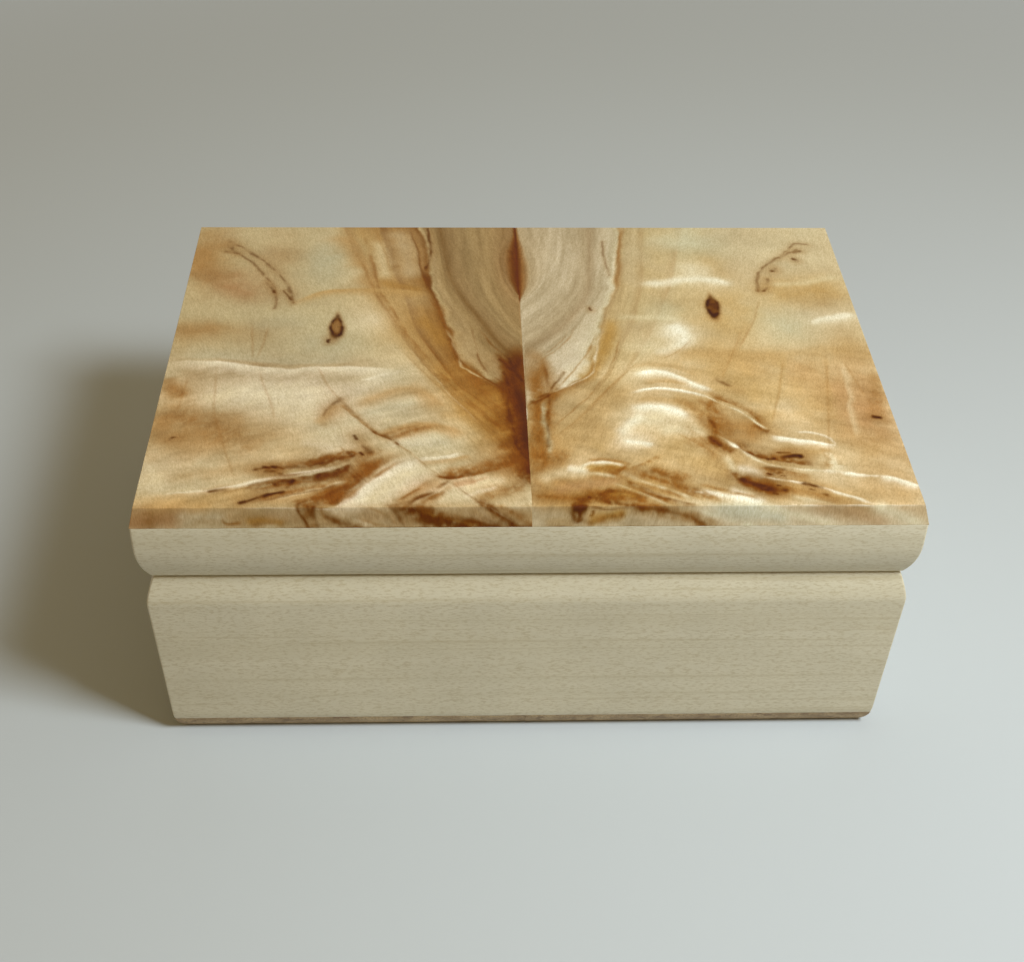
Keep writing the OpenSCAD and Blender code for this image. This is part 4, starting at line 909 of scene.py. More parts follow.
# White and cream strokes on the fold crests are painted highlights of the silky sheen, and the dark strokes that
# flank them are painted shade; the other strokes are the wood's own figure.
STROKES_RIGHT = [
    ([(1.5, 86.5), (6.5, 98.5), (9, 108.5), (8, 120)], 3, 4, "brown", 0.5),
    ([(14.5, 167.5), (24.5, 166.5), (34.5, 168.5)], 1.5, 2.5, "brown", 0.5),
    ([(63, 115), (64.5, 126.5), (66.5, 138.5)], 2.5, 2.5, "brown", 0.45),
    ([(49.5, 115), (56.5, 119), (61.5, 126.5)], 3, 3, "gold", 0.5),
    # Painted highlight: a thin bright line along the arris of the front bevel.
    ([(66.5, 174.5), (91.5, 174), (123, 174.5)], 0.3, 0.45, "white", 0.66),
    ([(66.5, 155), (71.5, 156), (76.5, 158.5)], 2, 3, "white", 0.5),
    ([(61.5, 166.5), (68, 170), (73, 173.5)], 2.5, 3, "white", 0.6),
    ([(63, 146.5), (66.5, 155), (64, 164)], 1.5, 2.5, "cream", 0.5),
    ([(51.5, 131.5), (56.5, 138.5), (59.5, 145)], 0.9, 2.5, "brown", 0.5),
    ([(33, 166.5), (41.5, 170), (51.5, 174)], 0.6, 1.5, "umber", 0.55),
    ([(39.5, 155), (44.5, 158.5), (51.5, 160)], 2, 2.5, "brown", 0.5),
    ([(1, 93.5), (3.5, 103.5), (4.5, 116.5), (3, 131.5), (2, 146.5)], 2.5, 3.5, "brown", 0.55),
    ([(6.5, 116.5), (5.5, 126.5), (7.5, 138.5), (6.5, 150)], 0.75, 1.4, "grey", 0.77),
    ([(4.5, 141.5), (5.5, 150), (3, 160)], 0.45, 0.75, "brown", 0.55),
    ([(24.5, 93.5), (22, 103.5), (14, 110), (6.5, 116.5)], 0.75, 2.5, "brown", 0.61),
    ([(8, 146.5), (18, 133.5), (28, 120), (36.5, 108.5)], 4, 4, "tan", 0.45),
    ([(1.5, 150), (6.5, 146.5), (13, 150)], 3, 3, "brown", 0.5),
    ([(41.5, 0), (40.5, 20), (38, 38.5), (35.5, 48.5)], 0.75, 1.3, "brown", 0.72),
    ([(33.5, 66.5), (30.5, 78.5), (26, 93.5)], 3, 3.2, "amber", 0.6),
    ([(28, 91), (23, 100), (18, 106.5)], 3, 3, "amber", 0.4),
    ([(46.5, 0), (43, 26.5), (41.5, 46.5)], 3, 3, "beige", 0.5),
    ([(44.5, 43.5), (54.5, 42), (59.5, 40.5), (68, 39.5), (75.5, 40.5), (81.5, 44.5)], 2.2, 3.2, "white", 0.7),
    ([(34.5, 66), (48, 66.5), (59.5, 69)], 2, 2, "cream", 0.4),
    ([(51.5, 73.5), (58, 73.5), (59.5, 80), (54.5, 86.5), (46.5, 91)], 2.5, 3.5, "white", 0.65),
    ([(43, 93.5), (54.5, 89), (74.5, 91), (96.5, 91), (116.5, 86.5), (124.5, 85)], 3, 5, "tan", 0.55),
    ([(104.5, 70), (113, 65.5), (124, 64)], 1.5, 3, "white", 0.6),
    ([(37, 104), (44, 100), (50.5, 102), (58, 107.5), (64.5, 112.5)], 0.9, 2.4, "white", 0.99),
    ([(36.5, 101), (43, 96.5), (53, 98.5), (61.5, 105)], 2.5, 0.75, "tan", 0.44),
    ([(61.5, 113.5), (70.5, 121.5), (80, 132.5)], 1.8, 0.45, "brown", 0.77),
    ([(39, 108.5), (48, 106.5), (58, 109)], 2.2, 0.75, "tan", 0.55),
    ([(34, 123.5), (41.5, 121), (48, 122), (54.5, 126.5)], 1.4, 3, "white", 0.9),
    ([(34.5, 119), (43, 116.5), (53, 118.5), (59.5, 124)], 2.2, 1.5, "tan", 0.55),
    ([(29.5, 140), (34.5, 131.5), (39.5, 126.5)], 2, 2.2, "white", 0.55),
    ([(31.5, 141), (36.5, 141.5), (41.5, 143)], 0.75, 1.5, "white", 0.66),
    ([(30.5, 135), (25.5, 141.5), (21.5, 146.5)], 3, 3, "gold", 0.4),
    ([(51.5, 115), (56.5, 123.5), (59.5, 133.5), (63, 141.5)], 3, 2.5, "brown", 0.35),
    ([(63, 115), (62, 126.5), (63, 138.5)], 2.5, 3.5, "brown", 0.6),
    ([(59, 139), (62, 141.5), (68, 146.5)], 2.5, 2.5, "umber", 0.75),
    ([(16.5, 154), (19.5, 152.5), (26.5, 152.5), (32, 154)], 0.6, 0.9, "cream", 0.88),
    ([(17, 156.5), (24.5, 154.5), (33, 156)], 0.45, 2.5, "brown", 0.66),
    ([(13, 164), (19.5, 160), (29.5, 158.5), (39.5, 160)], 1.8, 3, "brown", 0.45),
    ([(43, 136.5), (51.5, 133.5), (59.5, 138.5)], 3, 3, "cream", 0.45),
    ([(31.5, 156), (39.5, 151.5), (43, 148.5)], 0.75, 1.5, "brown", 0.44),
    ([(54.5, 150), (59.5, 156.5), (64.5, 165)], 3, 3, "gold", 0.4),
    ([(66.5, 141.5), (73, 148.5), (83, 151), (93, 154)], 3, 0.6, "umber", 0.72),
    ([(73, 154), (81.5, 156.5), (91.5, 159)], 0.52, 3, "brown", 0.55),
    ([(82, 145), (89.5, 146.5), (99.5, 147.5)], 1.5, 2.5, "tan", 0.5),
    ([(97, 146.5), (99, 153.5), (97, 157.5)], 0.9, 3, "cream", 0.66),
    ([(95.5, 145), (96.5, 151.5), (95.5, 156.5)], 1.6, 0.6, "brown", 0.33),
    ([(79.5, 164), (89.5, 167.5), (98, 171.5)], 0.45, 2.6, "brown", 0.61),
    ([(111.5, 159.5), (117, 161), (124.5, 165.5)], 0.68, 2.2, "white", 0.88),
    ([(51.5, 166.5), (58, 169), (73, 172.5)], 0.9, 1.8, "white", 0.83),
    ([(53, 164), (63, 168.5), (71.5, 170.5)], 1.4, 0.6, "brown", 0.5),
    ([(30.5, 159), (38, 163.5), (49, 170.5)], 0.9, 0.9, "cream", 0.66),
    ([(29, 161), (36.5, 166), (44.5, 171.5)], 0.75, 2.4, "umber", 0.55),
    ([(3, 164), (11.5, 165), (19.5, 162.5)], 2, 2, "tan", 0.5),
    ([(66.5, 160), (71.5, 164), (78, 166)], 3, 3.5, "umber", 0.75),
    ([(81.5, 169), (91.5, 172.5), (99.5, 176)], 0.9, 2, "cream", 0.55),
    ([(113, 93.5), (111.5, 116.5), (108, 141.5)], 0.75, 1.4, "cream", 0.28),
    ([(93, 45), (108, 44), (124, 38.5)], 2, 2, "cream", 0.35),
    ([(19.5, 71.5), (16.5, 80), (11.5, 88.5), (7, 93.5), (1.5, 99)], 0.38, 0.45, "brown", 0.47),
    ([(16.5, 73.5), (14, 81.5), (10, 87.5), (7, 91.5)], 0.3, 0.34, "brown", 0.36),
    ([(27, 73.5), (24, 83.5), (21.5, 93.5), (16.5, 101), (10.5, 111), (5, 117.5), 
      (0.5, 120.5)], 0.34, 0.45, "brown", 0.5),
    ([(7, 92.5), (5.5, 100), (4.5, 106.5), (3, 116)], 1.8, 2.4, "brown", 0.6),
    ([(6, 95), (8, 103.5), (7.5, 111)], 0.52, 0.83, "umber", 0.5),
    ([(36.5, 71.5), (34, 86.5), (31, 96), (25.5, 107.5), (19.5, 119), (13, 128.5), 
      (6, 136.5)], 0.34, 0.38, "brown", 0.43),
    ([(29, 73.5), (26.5, 81.5), (25, 90), (24.5, 98.5), (22, 103.5), (19, 106.5), (15.5, 108.5), 
      (11.5, 112.5)], 0.38, 0.45, "white", 0.55),
    ([(9.5, 114.5), (8, 120), (8, 131)], 0.83, 1.5, "brown", 0.55),
    ([(0.5, 120.5), (4, 118.5), (8.5, 114.5)], 0.38, 0.45, "umber", 0.61),
    ([(89, 136), (94.5, 136.5), (99, 139), (100.5, 142), (99.5, 144.5)], 0.52, 0.83, "white", 0.99),
    ([(80.5, 138), (86.5, 140.5), (93, 141.5), (100, 144)], 0.6, 1.7, "white", 0.99),
    ([(73.5, 159.5), (83, 161.5), (91.5, 164.5), (99.5, 169), (107.5, 173.5)], 0.45, 0.75, "white", 0.83),
    ([(81.5, 164), (91.5, 167), (99.5, 171.5)], 0.45, 2.4, "tan", 0.55),
    ([(17.5, 156.5), (24.5, 154), (31.5, 155.5)], 0.45, 3.4, "brown", 0.55),
    ([(38.5, 155), (44, 159), (49.5, 163)], 2.2, 2.2, "brown", 0.55),
    ([(32, 157.5), (39, 160.5), (46.5, 165), (53, 170)], 0.68, 0.68, "brown", 0.43),
    ([(49, 166.5), (54, 168.5), (60, 170.5)], 0.52, 0.9, "white", 0.83),
    ([(48.5, 135.5), (54.5, 141.5), (59.5, 146.5), (64.5, 151.5)], 0.38, 0.45, "brown", 0.29),
    ([(59, 137.5), (60.5, 141), (63.5, 144.5)], 1.6, 1.6, "umber", 0.8),
    ([(62, 127.5), (62.5, 135), (64, 139)], 0.45, 1.7, "brown", 0.72),
    ([(19, 172), (24.5, 168.5), (31.5, 169), (36, 172)], 2.2, 2.6, "umber", 0.6),
    ([(64.5, 157), (67, 161), (70, 164.5)], 1.6, 2, "umber", 0.65),
    ([(68.5, 164.5), (74.5, 166), (82, 167)], 2.3, 2.1, "umber", 0.65),
    ([(86.5, 163), (89.5, 164.5), (93, 165.5)], 0.45, 0.52, "black", 0.83),
    ([(62.5, 137.5), (67.5, 143), (71.5, 148), (75.5, 151.5), (82, 154.5), (96, 157)], 0.52, 0.75, "cream", 0.99),
    ([(66, 141.5), (69.5, 145.5), (72.5, 149)], 0.68, 0.9, "white", 0.83),
    ([(94, 156.5), (100.5, 158), (106.5, 159), (112.5, 160)], 0.52, 0.9, "white", 1),
    ([(36, 114), (41.5, 111), (49.5, 110.5), (56.5, 112.5), (61.5, 115.5)], 0.52, 0.75, "white", 1),
    ([(59.5, 114), (66.5, 120.5), (73, 127.5), (80.5, 135)], 0.38, 0.45, "cream", 0.94),
    ([(58.5, 116.5), (62, 121.5), (65, 127)], 0.75, 1.5, "brown", 0.44),
    ([(75, 131.5), (78.5, 134.5), (81, 135.5)], 0.68, 1.6, "umber", 0.55),
    ([(85.5, 67.5), (80, 81.5), (74, 93.5), (68, 105.5)], 5, 0.38, "tan", 0.44),
    ([(93.5, 89), (90.5, 103.5), (86.5, 116.5), (81.5, 133)], 5, 0.38, "gold", 0.44),
    ([(108, 89), (106.5, 106.5), (103.5, 127.5)], 5, 0.38, "tan", 0.44),
    ([(123, 98.5), (120.5, 113.5), (119, 128.5)], 3, 2.5, "brown", 0.4),
    ([(78, 164), (79, 164), (80, 164.5)], 0.45, 0.45, "black", 0.99),
    ([(76, 168), (77, 168), (78, 168.5)], 0.45, 0.45, "black", 0.99),
    ([(76.5, 157.5), (77.5, 158), (78, 158.5)], 0.38, 0.38, "black", 0.83),
    ([(80.5, 159), (81.5, 159), (82.5, 159.5)], 0.38, 0.38, "black", 0.83),
    ([(11, 173.5), (14, 171.5), (18.5, 172.5)], 0.6, 0.9, "umber", 0.55),
    ([(1.5, 143.5), (8, 151), (16.5, 158.5)], 3, 3, "brown", 0.25),
    ([(41.5, 164), (48, 167.5), (54.5, 172.5)], 0.6, 0.9, "brown", 0.5),
    ([(1, 96.5), (5.5, 115), (4, 136.5), (1.5, 158.5)], 3.5, 4.5, "brown", 0.4),
    ([(6.5, 160), (13, 164), (21.5, 166.5)], 3, 3, "brown", 0.3),
    ([(3, 180), (7.5, 179.5), (13, 179.5)], 1.8, 1.8, "tan", 0.5),
    ([(14.5, 173), (14, 175), (13, 177), (14.5, 179.5)], 1.7, 1.7, "umber", 0.9),
    ([(11.5, 174.5), (14, 174.5), (17, 174.5)], 1, 1, "black", 0.7),
    ([(18.5, 175), (19, 176.5), (17.5, 177)], 0.45, 0.45, "umber", 0.8),
    ([(16.5, 179), (22.5, 177), (29.5, 176.5)], 1.7, 1.7, "amber", 0.9),
    ([(15, 179.5), (21, 178), (29.5, 177)], 1.5, 1.5, "brown", 0.6),
    ([(17, 174), (23.5, 175), (29.5, 175)], 0.4, 0.4, "umber", 0.6),
    ([(28, 178.5), (35, 178.5), (45.5, 179)], 2.6, 2.6, "beige", 0.6),
    ([(26.5, 173.5), (39, 175), (45.5, 176.5), (52.5, 179), (60.5, 182.5)], 2.2, 2.2, "brown", 0.75),
    ([(34.5, 174.5), (44.5, 176), (51, 178.5), (55, 181)], 0.7, 0.7, "umber", 0.5),
    ([(50, 175), (58, 178), (65, 180.5), (71.5, 182)], 0.8, 0.8, "cream", 0.9),
    ([(53, 175), (69, 177), (83, 179)], 3, 3, "grey", 0.7),
    ([(71.5, 174), (84, 177.5), (96.5, 181)], 1.5, 1.5, "cream", 0.7),
    ([(87, 173.5), (102, 177), (112.5, 181.5)], 2.8, 2.8, "pink", 0.5),
    ([(106, 173.5), (114.5, 177.5), (123.5, 182)], 2.3, 2.3, "cream", 0.75),
    ([(-0.5, 181), (29.5, 181), (62.5, 181)], 0.4, 0.4, "umber", 0.45),
    ([(0.5, 168.5), (6.5, 169.5), (15.5, 170.5)], 1.5, 1.5, "brown", 0.55),
    ([(5.5, 167), (14.5, 164.5), (23, 163), (30, 160.5)], 3, 3, "pink", 0.55),
    ([(1.5, 161.5), (9.5, 157.5), (19.5, 156.5)], 4, 4, "cream", 0.45),
    ([(11.5, 154.5), (15, 155.5), (19, 156.5)], 1.5, 1.5, "white", 0.5),
    ([(17, 154.5), (24, 155.5), (32, 155)], 2.4, 2.4, "amber", 0.55),
    ([(18, 151), (24, 151), (28.5, 152), (33, 153.5)], 1.3, 1.3, "brown", 0.5),
    ([(16.5, 155), (19, 152), (22, 152), (25.5, 152.5), (31.5, 154.5)], 0.7, 0.7, "white", 0.8),
    ([(24.5, 159.5), (28.5, 156.5), (32, 153.5)], 1.3, 1.3, "brown", 0.65),
    ([(17.5, 157.5), (23, 158.5), (27.5, 160)], 0.8, 0.8, "cream", 0.6),
    ([(31, 155), (36, 158), (38.5, 160.5), (42, 161.5), (45.5, 164), (49.5, 166), (53.5, 169), 
      (60, 173.5)], 1.8, 1.8, "brown", 0.7),
    ([(29, 156.5), (31.5, 159), (34.5, 161.5)], 1.8, 1.8, "beige", 0.5),
    ([(30.5, 162.5), (36, 164), (39.5, 165.5), (43.5, 167.5), (49, 171)], 1.1, 1.1, "brown", 0.6),
    ([(34, 161.5), (39.5, 164.5), (44, 166.5), (50.5, 171)], 0.8, 0.8, "cream", 0.6),
    ([(29.5, 164), (36, 167.5), (40.5, 170.5), (45.5, 174)], 1.3, 1.3, "brown", 0.5),
    ([(25.5, 162.5), (31, 166), (35, 168.5), (38.5, 170.5), (44, 174.5)], 0.7, 0.7, "cream", 0.75),
    ([(32.5, 164), (39.5, 168), (44.5, 170.5), (50, 174.5)], 0.9, 0.9, "beige", 0.65),
    ([(13, 171.5), (18.5, 170), (23, 168.5), (26.5, 166.5)], 2, 2, "umber", 0.85),
    ([(20, 169.5), (29, 169.5), (37, 172.5)], 2.8, 2.8, "brown", 0.85),
    ([(23, 168.5), (29, 168.5), (33, 170)], 1.2, 1.2, "amber", 0.5),
    ([(20, 171.5), (28, 173.5), (36.5, 175)], 1, 1, "umber", 0.55),
    ([(11, 174.5), (14, 173.5), (17.5, 174.5)], 1.2, 1.2, "umber", 0.8),
    ([(51.5, 138.5), (59, 145.5), (63.5, 151.5)], 2.2, 2.2, "brown", 0.4),
    ([(1, 158.5), (4, 153.5), (7, 148.5)], 2, 2, "brown", 0.4),
    # Painted shade: a faint darker band over the whole front bevel.
    ([(-17.5, 178), (61, 178), (147.5, 178)], 3.6, 3.6, "umber", 0.06),
]
MARKS_RIGHT = [
    ([(114, 14.5), (109.5, 13.5), (106.5, 17.5), (101.5, 24), (95.5, 30), (92, 35), (90.5, 41.5), 
      (90, 49)], 0.8, 0.42),
    ([(98.5, 32.5), (97.5, 34.5)], 1.2, 0.8),
    ([(94.5, 40), (93.5, 45), (92, 48.5)], 1, 0.7),
    ([(107, 25.5), (108, 26.5)], 1.3, 0.7),
    ([(108, 20.5), (110.5, 19.5)], 1.2, 0.5),
    ([(101.5, 25), (105.5, 21), (109.5, 18.5)], 1, 0.35),
    ([(83, 149.5), (86, 149), (88.5, 149.5)], 1.8, 1),
    ([(77.5, 151), (79.5, 150.5)], 1.2, 0.9),
    ([(81.5, 147.5), (85, 147.5)], 0.8, 0.6),
    ([(68, 161.5), (74.5, 165.5), (80.5, 166.5)], 2, 0.75),
    ([(72, 164), (77, 167)], 1.8, 0.7),
    ([(87.5, 163.5), (92, 165.5)], 1.1, 0.75),
    ([(88.5, 166.5), (93.5, 169)], 1.2, 0.6),
    ([(76.5, 155.5), (82.5, 156.5)], 1.5, 0.5),
    ([(77, 158.5), (80.5, 158)], 1.2, 0.45),
    ([(67, 106), (69.5, 109), (73.5, 112.5)], 1.2, 0.4),
    ([(117, 128), (119, 128.5)], 1.2, 0.9),
    ([(34, 12.5), (33.5, 25), (34.5, 37.5)], 0.3, 0.4),
    ([(25.5, 60.5), (26, 62)], 0.7, 0.7),
    ([(61.5, 141), (63, 143.5)], 1.2, 0.6),
    ([(59.5, 138.5), (61, 141)], 1.2, 0.55),
    ([(14, 101.5), (8, 113.5), (2, 119)], 0.5, 0.5),
    ([(8, 115), (7, 130), (6.5, 143.5)], 0.7, 0.4),
    ([(3, 120), (8, 115), (11.5, 111)], 0.6, 0.4),
    ([(61.5, 128.5), (62.5, 133.5)], 0.8, 0.4),
]
HAIRS_RIGHT = [
    [(80, 73.5), (76.5, 85), (69.5, 102.5), (68, 107.5)],
    [(92.5, 91), (86.5, 116.5), (81.5, 132.5)],
    [(107.5, 90), (104.5, 111), (96.5, 156.5)],
    [(61.5, 80), (54.5, 90), (48, 93.5)],
    [(89.5, 53.5), (84.5, 71.5), (77, 86.5)],
    [(113, 93.5), (116.5, 116.5)],
    [(33, 103.5), (21.5, 123.5), (8, 140)],
    [(41.5, 93.5), (29.5, 110), (18, 126.5)],
]
KNOT_RIGHT = (71.3, 59.5, 2.3, 6.8, 0.6)
TINT_RIGHT = (0.955, 0.985, 1.01)
print(len(STROKES_LEFT) + len(STROKES_RIGHT), "strokes and", len(MARKS_LEFT) + len(MARKS_RIGHT), "marks")

# %% [markdown]
# Each layer of the figure is laid over the last, as a painter lays glazes. The places are warped by noise
# first, so no edge is ever quite straight, and `cloud`, `grit` and `speck` break up every layer as fibres and
# pores do. Near the front, where the grain is folded, three more noises add silk, creases and a fine hatch,
# painted ripples of light and shade. A tone curve then lifts the middle tones there and deepens the browns,
# and the bevel is darkened as painted shade on the plane that faces forward.

# %% Figure colour
WARM = np.array([0.85, 1.0, 1.35])   # red, green and blue shares of a warm change of light
SILKY = np.array([0.9, 1.0, 1.25])
# The second number darkens the bevel past the arris: painted shade.
ARRIS, BEVEL_PAINTED_SHADE = (174.0, 174.5), 0.13


def ends(passed, spare):
    """One along a line and fading over its first and last fifth, with a little to spare past each end."""
    return step(passed, -spare, 0.2) * step(1 + spare - passed, 0, 0.2)


def figure_colour(x, y, guides, stops, washes, strokes, marks, hairs, knot, tint, seed):
    """Colour (0 to 255) at each point: ring colours, growth lines, washes, strokes, silk, hairs, the knot and marks,
    each laid over the ones before."""
    s = BOX_D / 2 - y
    wx = x + 1.5 * lattice_noise(x, s, 15, seed) + 0.5 * lattice_noise(x, s, 4, seed + 1, 2)
    ws = s + 1.5 * lattice_noise(x, s, 20, seed + 2) + 0.5 * lattice_noise(x, s, 4, seed + 3, 2)
    ragged = lattice_noise(x, s, 5, seed + 4, 3)
    speck = lattice_noise(x, s, 2.2, seed + 11, 1)
    grit = lattice_noise(x + 0.3 * s * np.sign(-x), s * 0.7, 1.3, seed + 14, 2) * step(s, 100, 125)
    cloud = 1 + 0.45 * lattice_noise(x, s, 10, seed + 6, 4)

    # Rings: a ragged edge where the heartwood ends (ring 1), a colour by number and thin growth lines.
    ring = rings(np.abs(x) + 0.15 * (wx - x), s + 0.15 * (ws - s), guides)
    ring = ring + 0.022 * ragged * np.exp(-((ring - 1) / 0.12) ** 2)
    places, shades = [p for p, _ in stops], np.array([c for _, c in stops], float)
    colour = np.stack([np.interp(ring, places, shades[:, k]) for k in range(3)], -1)
    sap = step(ring, 1.0, 1.12)
    lines = lattice_noise(ring * 26, s * 0.05, 1.0, seed + 7, 3)
    beside = sap * np.exp(-((ring - 1.25) / 0.25) ** 2)
    colour = colour * (1 + np.outer((0.08 - 0.07 * sap + 0.05 * beside) * lines, WARM))

    def lay(mask, tone, at=slice(None)):
        """Cover the colour with a tone, as far as the mask says."""
        colour[at] += np.clip(mask, 0, 1)[:, None] * (np.array(tone, float) - colour[at])

    def near(line, reach):
        """Numbers of the points within reach of a line's own box."""
        p = np.array(line, float)
        return np.flatnonzero((x > p[:, 0].min() - reach) & (x < p[:, 0].max() + reach)
                              & (s > p[:, 1].min() - reach) & (s < p[:, 1].max() + reach))

    # Washes: soft tilted ovals in the sapwood.
    for px, ps, rx, rs, tilt, tone, amount in washes:
        c, d = np.cos(np.radians(tilt)), np.sin(np.radians(tilt))
        dx, ds = wx - px, ws - ps
        e = ((c * dx + d * ds) / rx) ** 2 + ((c * ds - d * dx) / rs) ** 2
        lay(amount * np.exp(-e * 1.2) * cloud * sap, TONES[tone])

    # Strokes: bands along a crest, both figure lines and the painted highlight and painted shade of the folds. Thin
    # ones are broken up, and broad brown ones are gritty.
    for line, back, front, tone, amount in strokes:
        at = near(line, 3 * max(back, front) + 3)
        d, side, passed = crest(0.5 * (wx[at] + x[at]), 0.5 * (ws[at] + s[at]), smooth_line(line))
        width = np.where(side > 0, front, back) * (1 + 0.25 * ragged[at])
        fade = ends(passed, 0.04)
        if max(back, front) < 1:
            fade = fade * np.clip(0.75 + 0.6 * ragged[at], 0.15, 1)
        elif tone in ("brown", "umber"):
            fade = fade * np.clip(0.9 + 0.45 * grit[at], 0.3, 1.2)
        lay(amount * np.exp(-(d / width) ** 2) * fade * (0.7 + 0.3 * cloud[at]), TONES[tone], at)

    # Silk, creases and hatch: long, short and crossing ripples of light over the folded front.
    slope, low = s - 0.3 * np.abs(x), step(s, 70, 112)
    silk = lattice_noise(x * 0.5, slope, 5.5, seed + 8, 2) * low + 0.5 * lattice_noise(x * 0.6, s, 9, seed + 9, 2)
    crease = lattice_noise(x * 0.3 + 0.4 * ragged, slope, 2.2, seed + 12, 2) * low
    hatch = lattice_noise(np.abs(x) + 0.42 * s + 0.3 * ragged, s * 0.12, 0.75, seed + 13, 1)
    hatch = hatch * step(s, 112, 135) * step(-np.abs(x), -80, -60)
    colour *= 1 + np.outer((0.05 * silk + 0.04 * crease + 0.035 * hatch) * sap, SILKY)

    # Hairs: faint thin lines.
    for line in hairs:
        at = near(line, 2)
        d, _, passed = crest(x[at] + 0.15 * ragged[at], s[at], smooth_line(line))
        lay(0.2 * np.exp(-(d / 0.45) ** 2) * ends(passed, 0.02), TONES["brown"], at)

    # Knot: a drop-shaped oval with a brown halo, a brown middle and a black rim.
    kx, ks, kw, kh, filled = knot
    lean = (s - ks) / kh
    pinch = np.maximum(1.0 - 0.4 * np.clip(-lean, 0, 3), 0.2)
    e = np.hypot((x - kx + 0.35 * ragged) / (kw * pinch), lean)
    rim = np.exp(-((e - 0.9) / 0.25) ** 2) * (0.8 + 0.35 * speck)
    core = filled * step(-e, -1.0, -0.35) * (0.85 + 0.25 * speck)
    lay(0.4 * np.exp(-((e - 1.15) / 0.4) ** 2), TONES["brown"])
    lay(0.75 * step(-e, -1.0, -0.7), TONES["brown"])
    lay(np.clip(rim + core, 0, 0.88), TONES["black"])

    # Marks: broken dark lines in a brown halo.
    for line, width, amount in marks:
        at = near(line, 4 * width + 3)
        d = crest(x[at] + 0.35 * ragged[at] + 0.25 * speck[at], s[at] + 0.35 * speck[at], line)[0]
        thick = width * (0.6 + 0.5 * ragged[at])
        lay(0.4 * amount * np.exp(-(d / (1.8 * width + 0.7)) ** 2), TONES["brown"], at)
        tone = np.array(TONES["umber"]) * (1 - amount) + np.array(TONES["black"]) * amount
        broken = np.clip(0.8 + 0.8 * speck[at] + 0.3 * ragged[at], 0.05, 1)
        lay(amount * step(-d, -thick - 0.6, -thick * 0.2 + 0.1) * broken, tone, at)

    # Tone curve, then the painted shade on the bevel and the tint of each half, which on the left half is partly
    # painted shade.
    light = colour.mean(-1)
    colour += np.outer(np.exp(-((light - 183) / 26) ** 2) * low, (6, 6, 10))
    colour -= np.outer(step(-light, -125, -60), (4, 17, 30))
    # Painted shade: the bevel past the arris is darkened.
    colour *= 1 - BEVEL_PAINTED_SHADE * step(s, *ARRIS)[:, None]
    return np.clip(colour * tint, 0, 255)


print("figure drawn in", len(TONES), "tones")

# %% [markdown]
# The board's own shader only adds what is finer than its mesh: silky fibres, small pores and a satin varnish.

# %% Figured wood
FINE, ins, outs = new_group("fine_figure",
                            [("Colour", "NodeSocketColor", (1, 1, 1, 1)), ("Place", "NodeSocketVector", None)],
                            [("Colour", "NodeSocketColor"), ("Height", "NodeSocketFloat")])
part = add(FINE, "ShaderNodeSeparateXYZ", {0: ins["Place"]}).outputs
across = maths(FINE, "SUBTRACT", maths(FINE, "ABSOLUTE", part[0]), maths(FINE, "MULTIPLY", part[1], 0.2))
along = add(FINE, "ShaderNodeCombineXYZ", {0: across, 1: part[1], 2: part[2]}).outputs[0]
silk = noise(FINE, ins["Place"], (0.3, 0.14, 0.14), 3.0, 0.6)
pores = noise(FINE, along, (1.15, 0.15, 0.15), 3.0, 0.75)
fleck = noise(FINE, along, (2.6, 0.8, 0.8), 2.0, 0.6)
mixed = maths(FINE, "ADD", maths(FINE, "MULTIPLY", pores, 0.35), maths(FINE, "MULTIPLY", fleck, 0.65))
shine = spread(FINE, silk, 0.3, 0.7, 0.965, 1.03, False)
FLECK_REACH = (0.16, 0.185, 0.25)   # red, green and blue: a fleck is browner than the wood round it
flecked = [spread(FINE, mixed, 0.34, 0.66, 1 - reach, 1 + reach, False) for reach in FLECK_REACH]
lift = add(FINE, "ShaderNodeCombineColor",
           {k: maths(FINE, "MULTIPLY", shine, share) for k, share in enumerate(flecked)}).outputs[0]
FINE.links.new(blend(FINE, 1.0, ins["Colour"], lift, "MULTIPLY"), outs["Colour"])
FINE.links.new(maths(FINE, "ADD", pores, silk), outs["Height"])

figured, tree, shader = new_material("figured_wood")
group = add(tree, "ShaderNodeGroup", node_tree=FINE)
tree.links.new(add(tree, "ShaderNodeAttribute", attribute_name="figure").outputs["Color"], group.inputs["Colour"])
tree.links.new(place_mm(tree), group.inputs["Place"])
tree.links.new(group.outputs["Colour"], shader.inputs["Base Color"])
bump = add(tree, "ShaderNodeBump", {"Strength": 0.08, "Distance": 0.0003, "Height": group.outputs["Height"]})
tree.links.new(bump.outputs[0], shader.inputs["Normal"])
set_values(shader, {"Roughness": 0.5, "Specular IOR Level": 0.1, "Coat Weight": 0.02, "Coat Roughness": 0.12})
print("figured wood reads", [n.attribute_name for n in tree.nodes if n.type == "ATTRIBUTE"])

# %% [markdown]
# Each half is a height over its plan. The flat top gives way to sloping planes at the edges: a broad bevel
# along the front, where a thumb lifts the lid, and a slight lean at the side and back. A soft minimum of those
# planes eases every arris, as sandpaper does. A hair-thin groove at the middle shows the glued seam. The figure
# is unrolled over the bevel, so that it isn't stretched there.

# %% Top boards
def soft_min(a, b, k):
    """Smaller of two heights, rounded over a height k where they cross."""
    h = np.clip(0.5 + 0.5 * (b - a) / k, 0, 1)
    return b * (1 - h) + a * h - k * h * (1 - h)


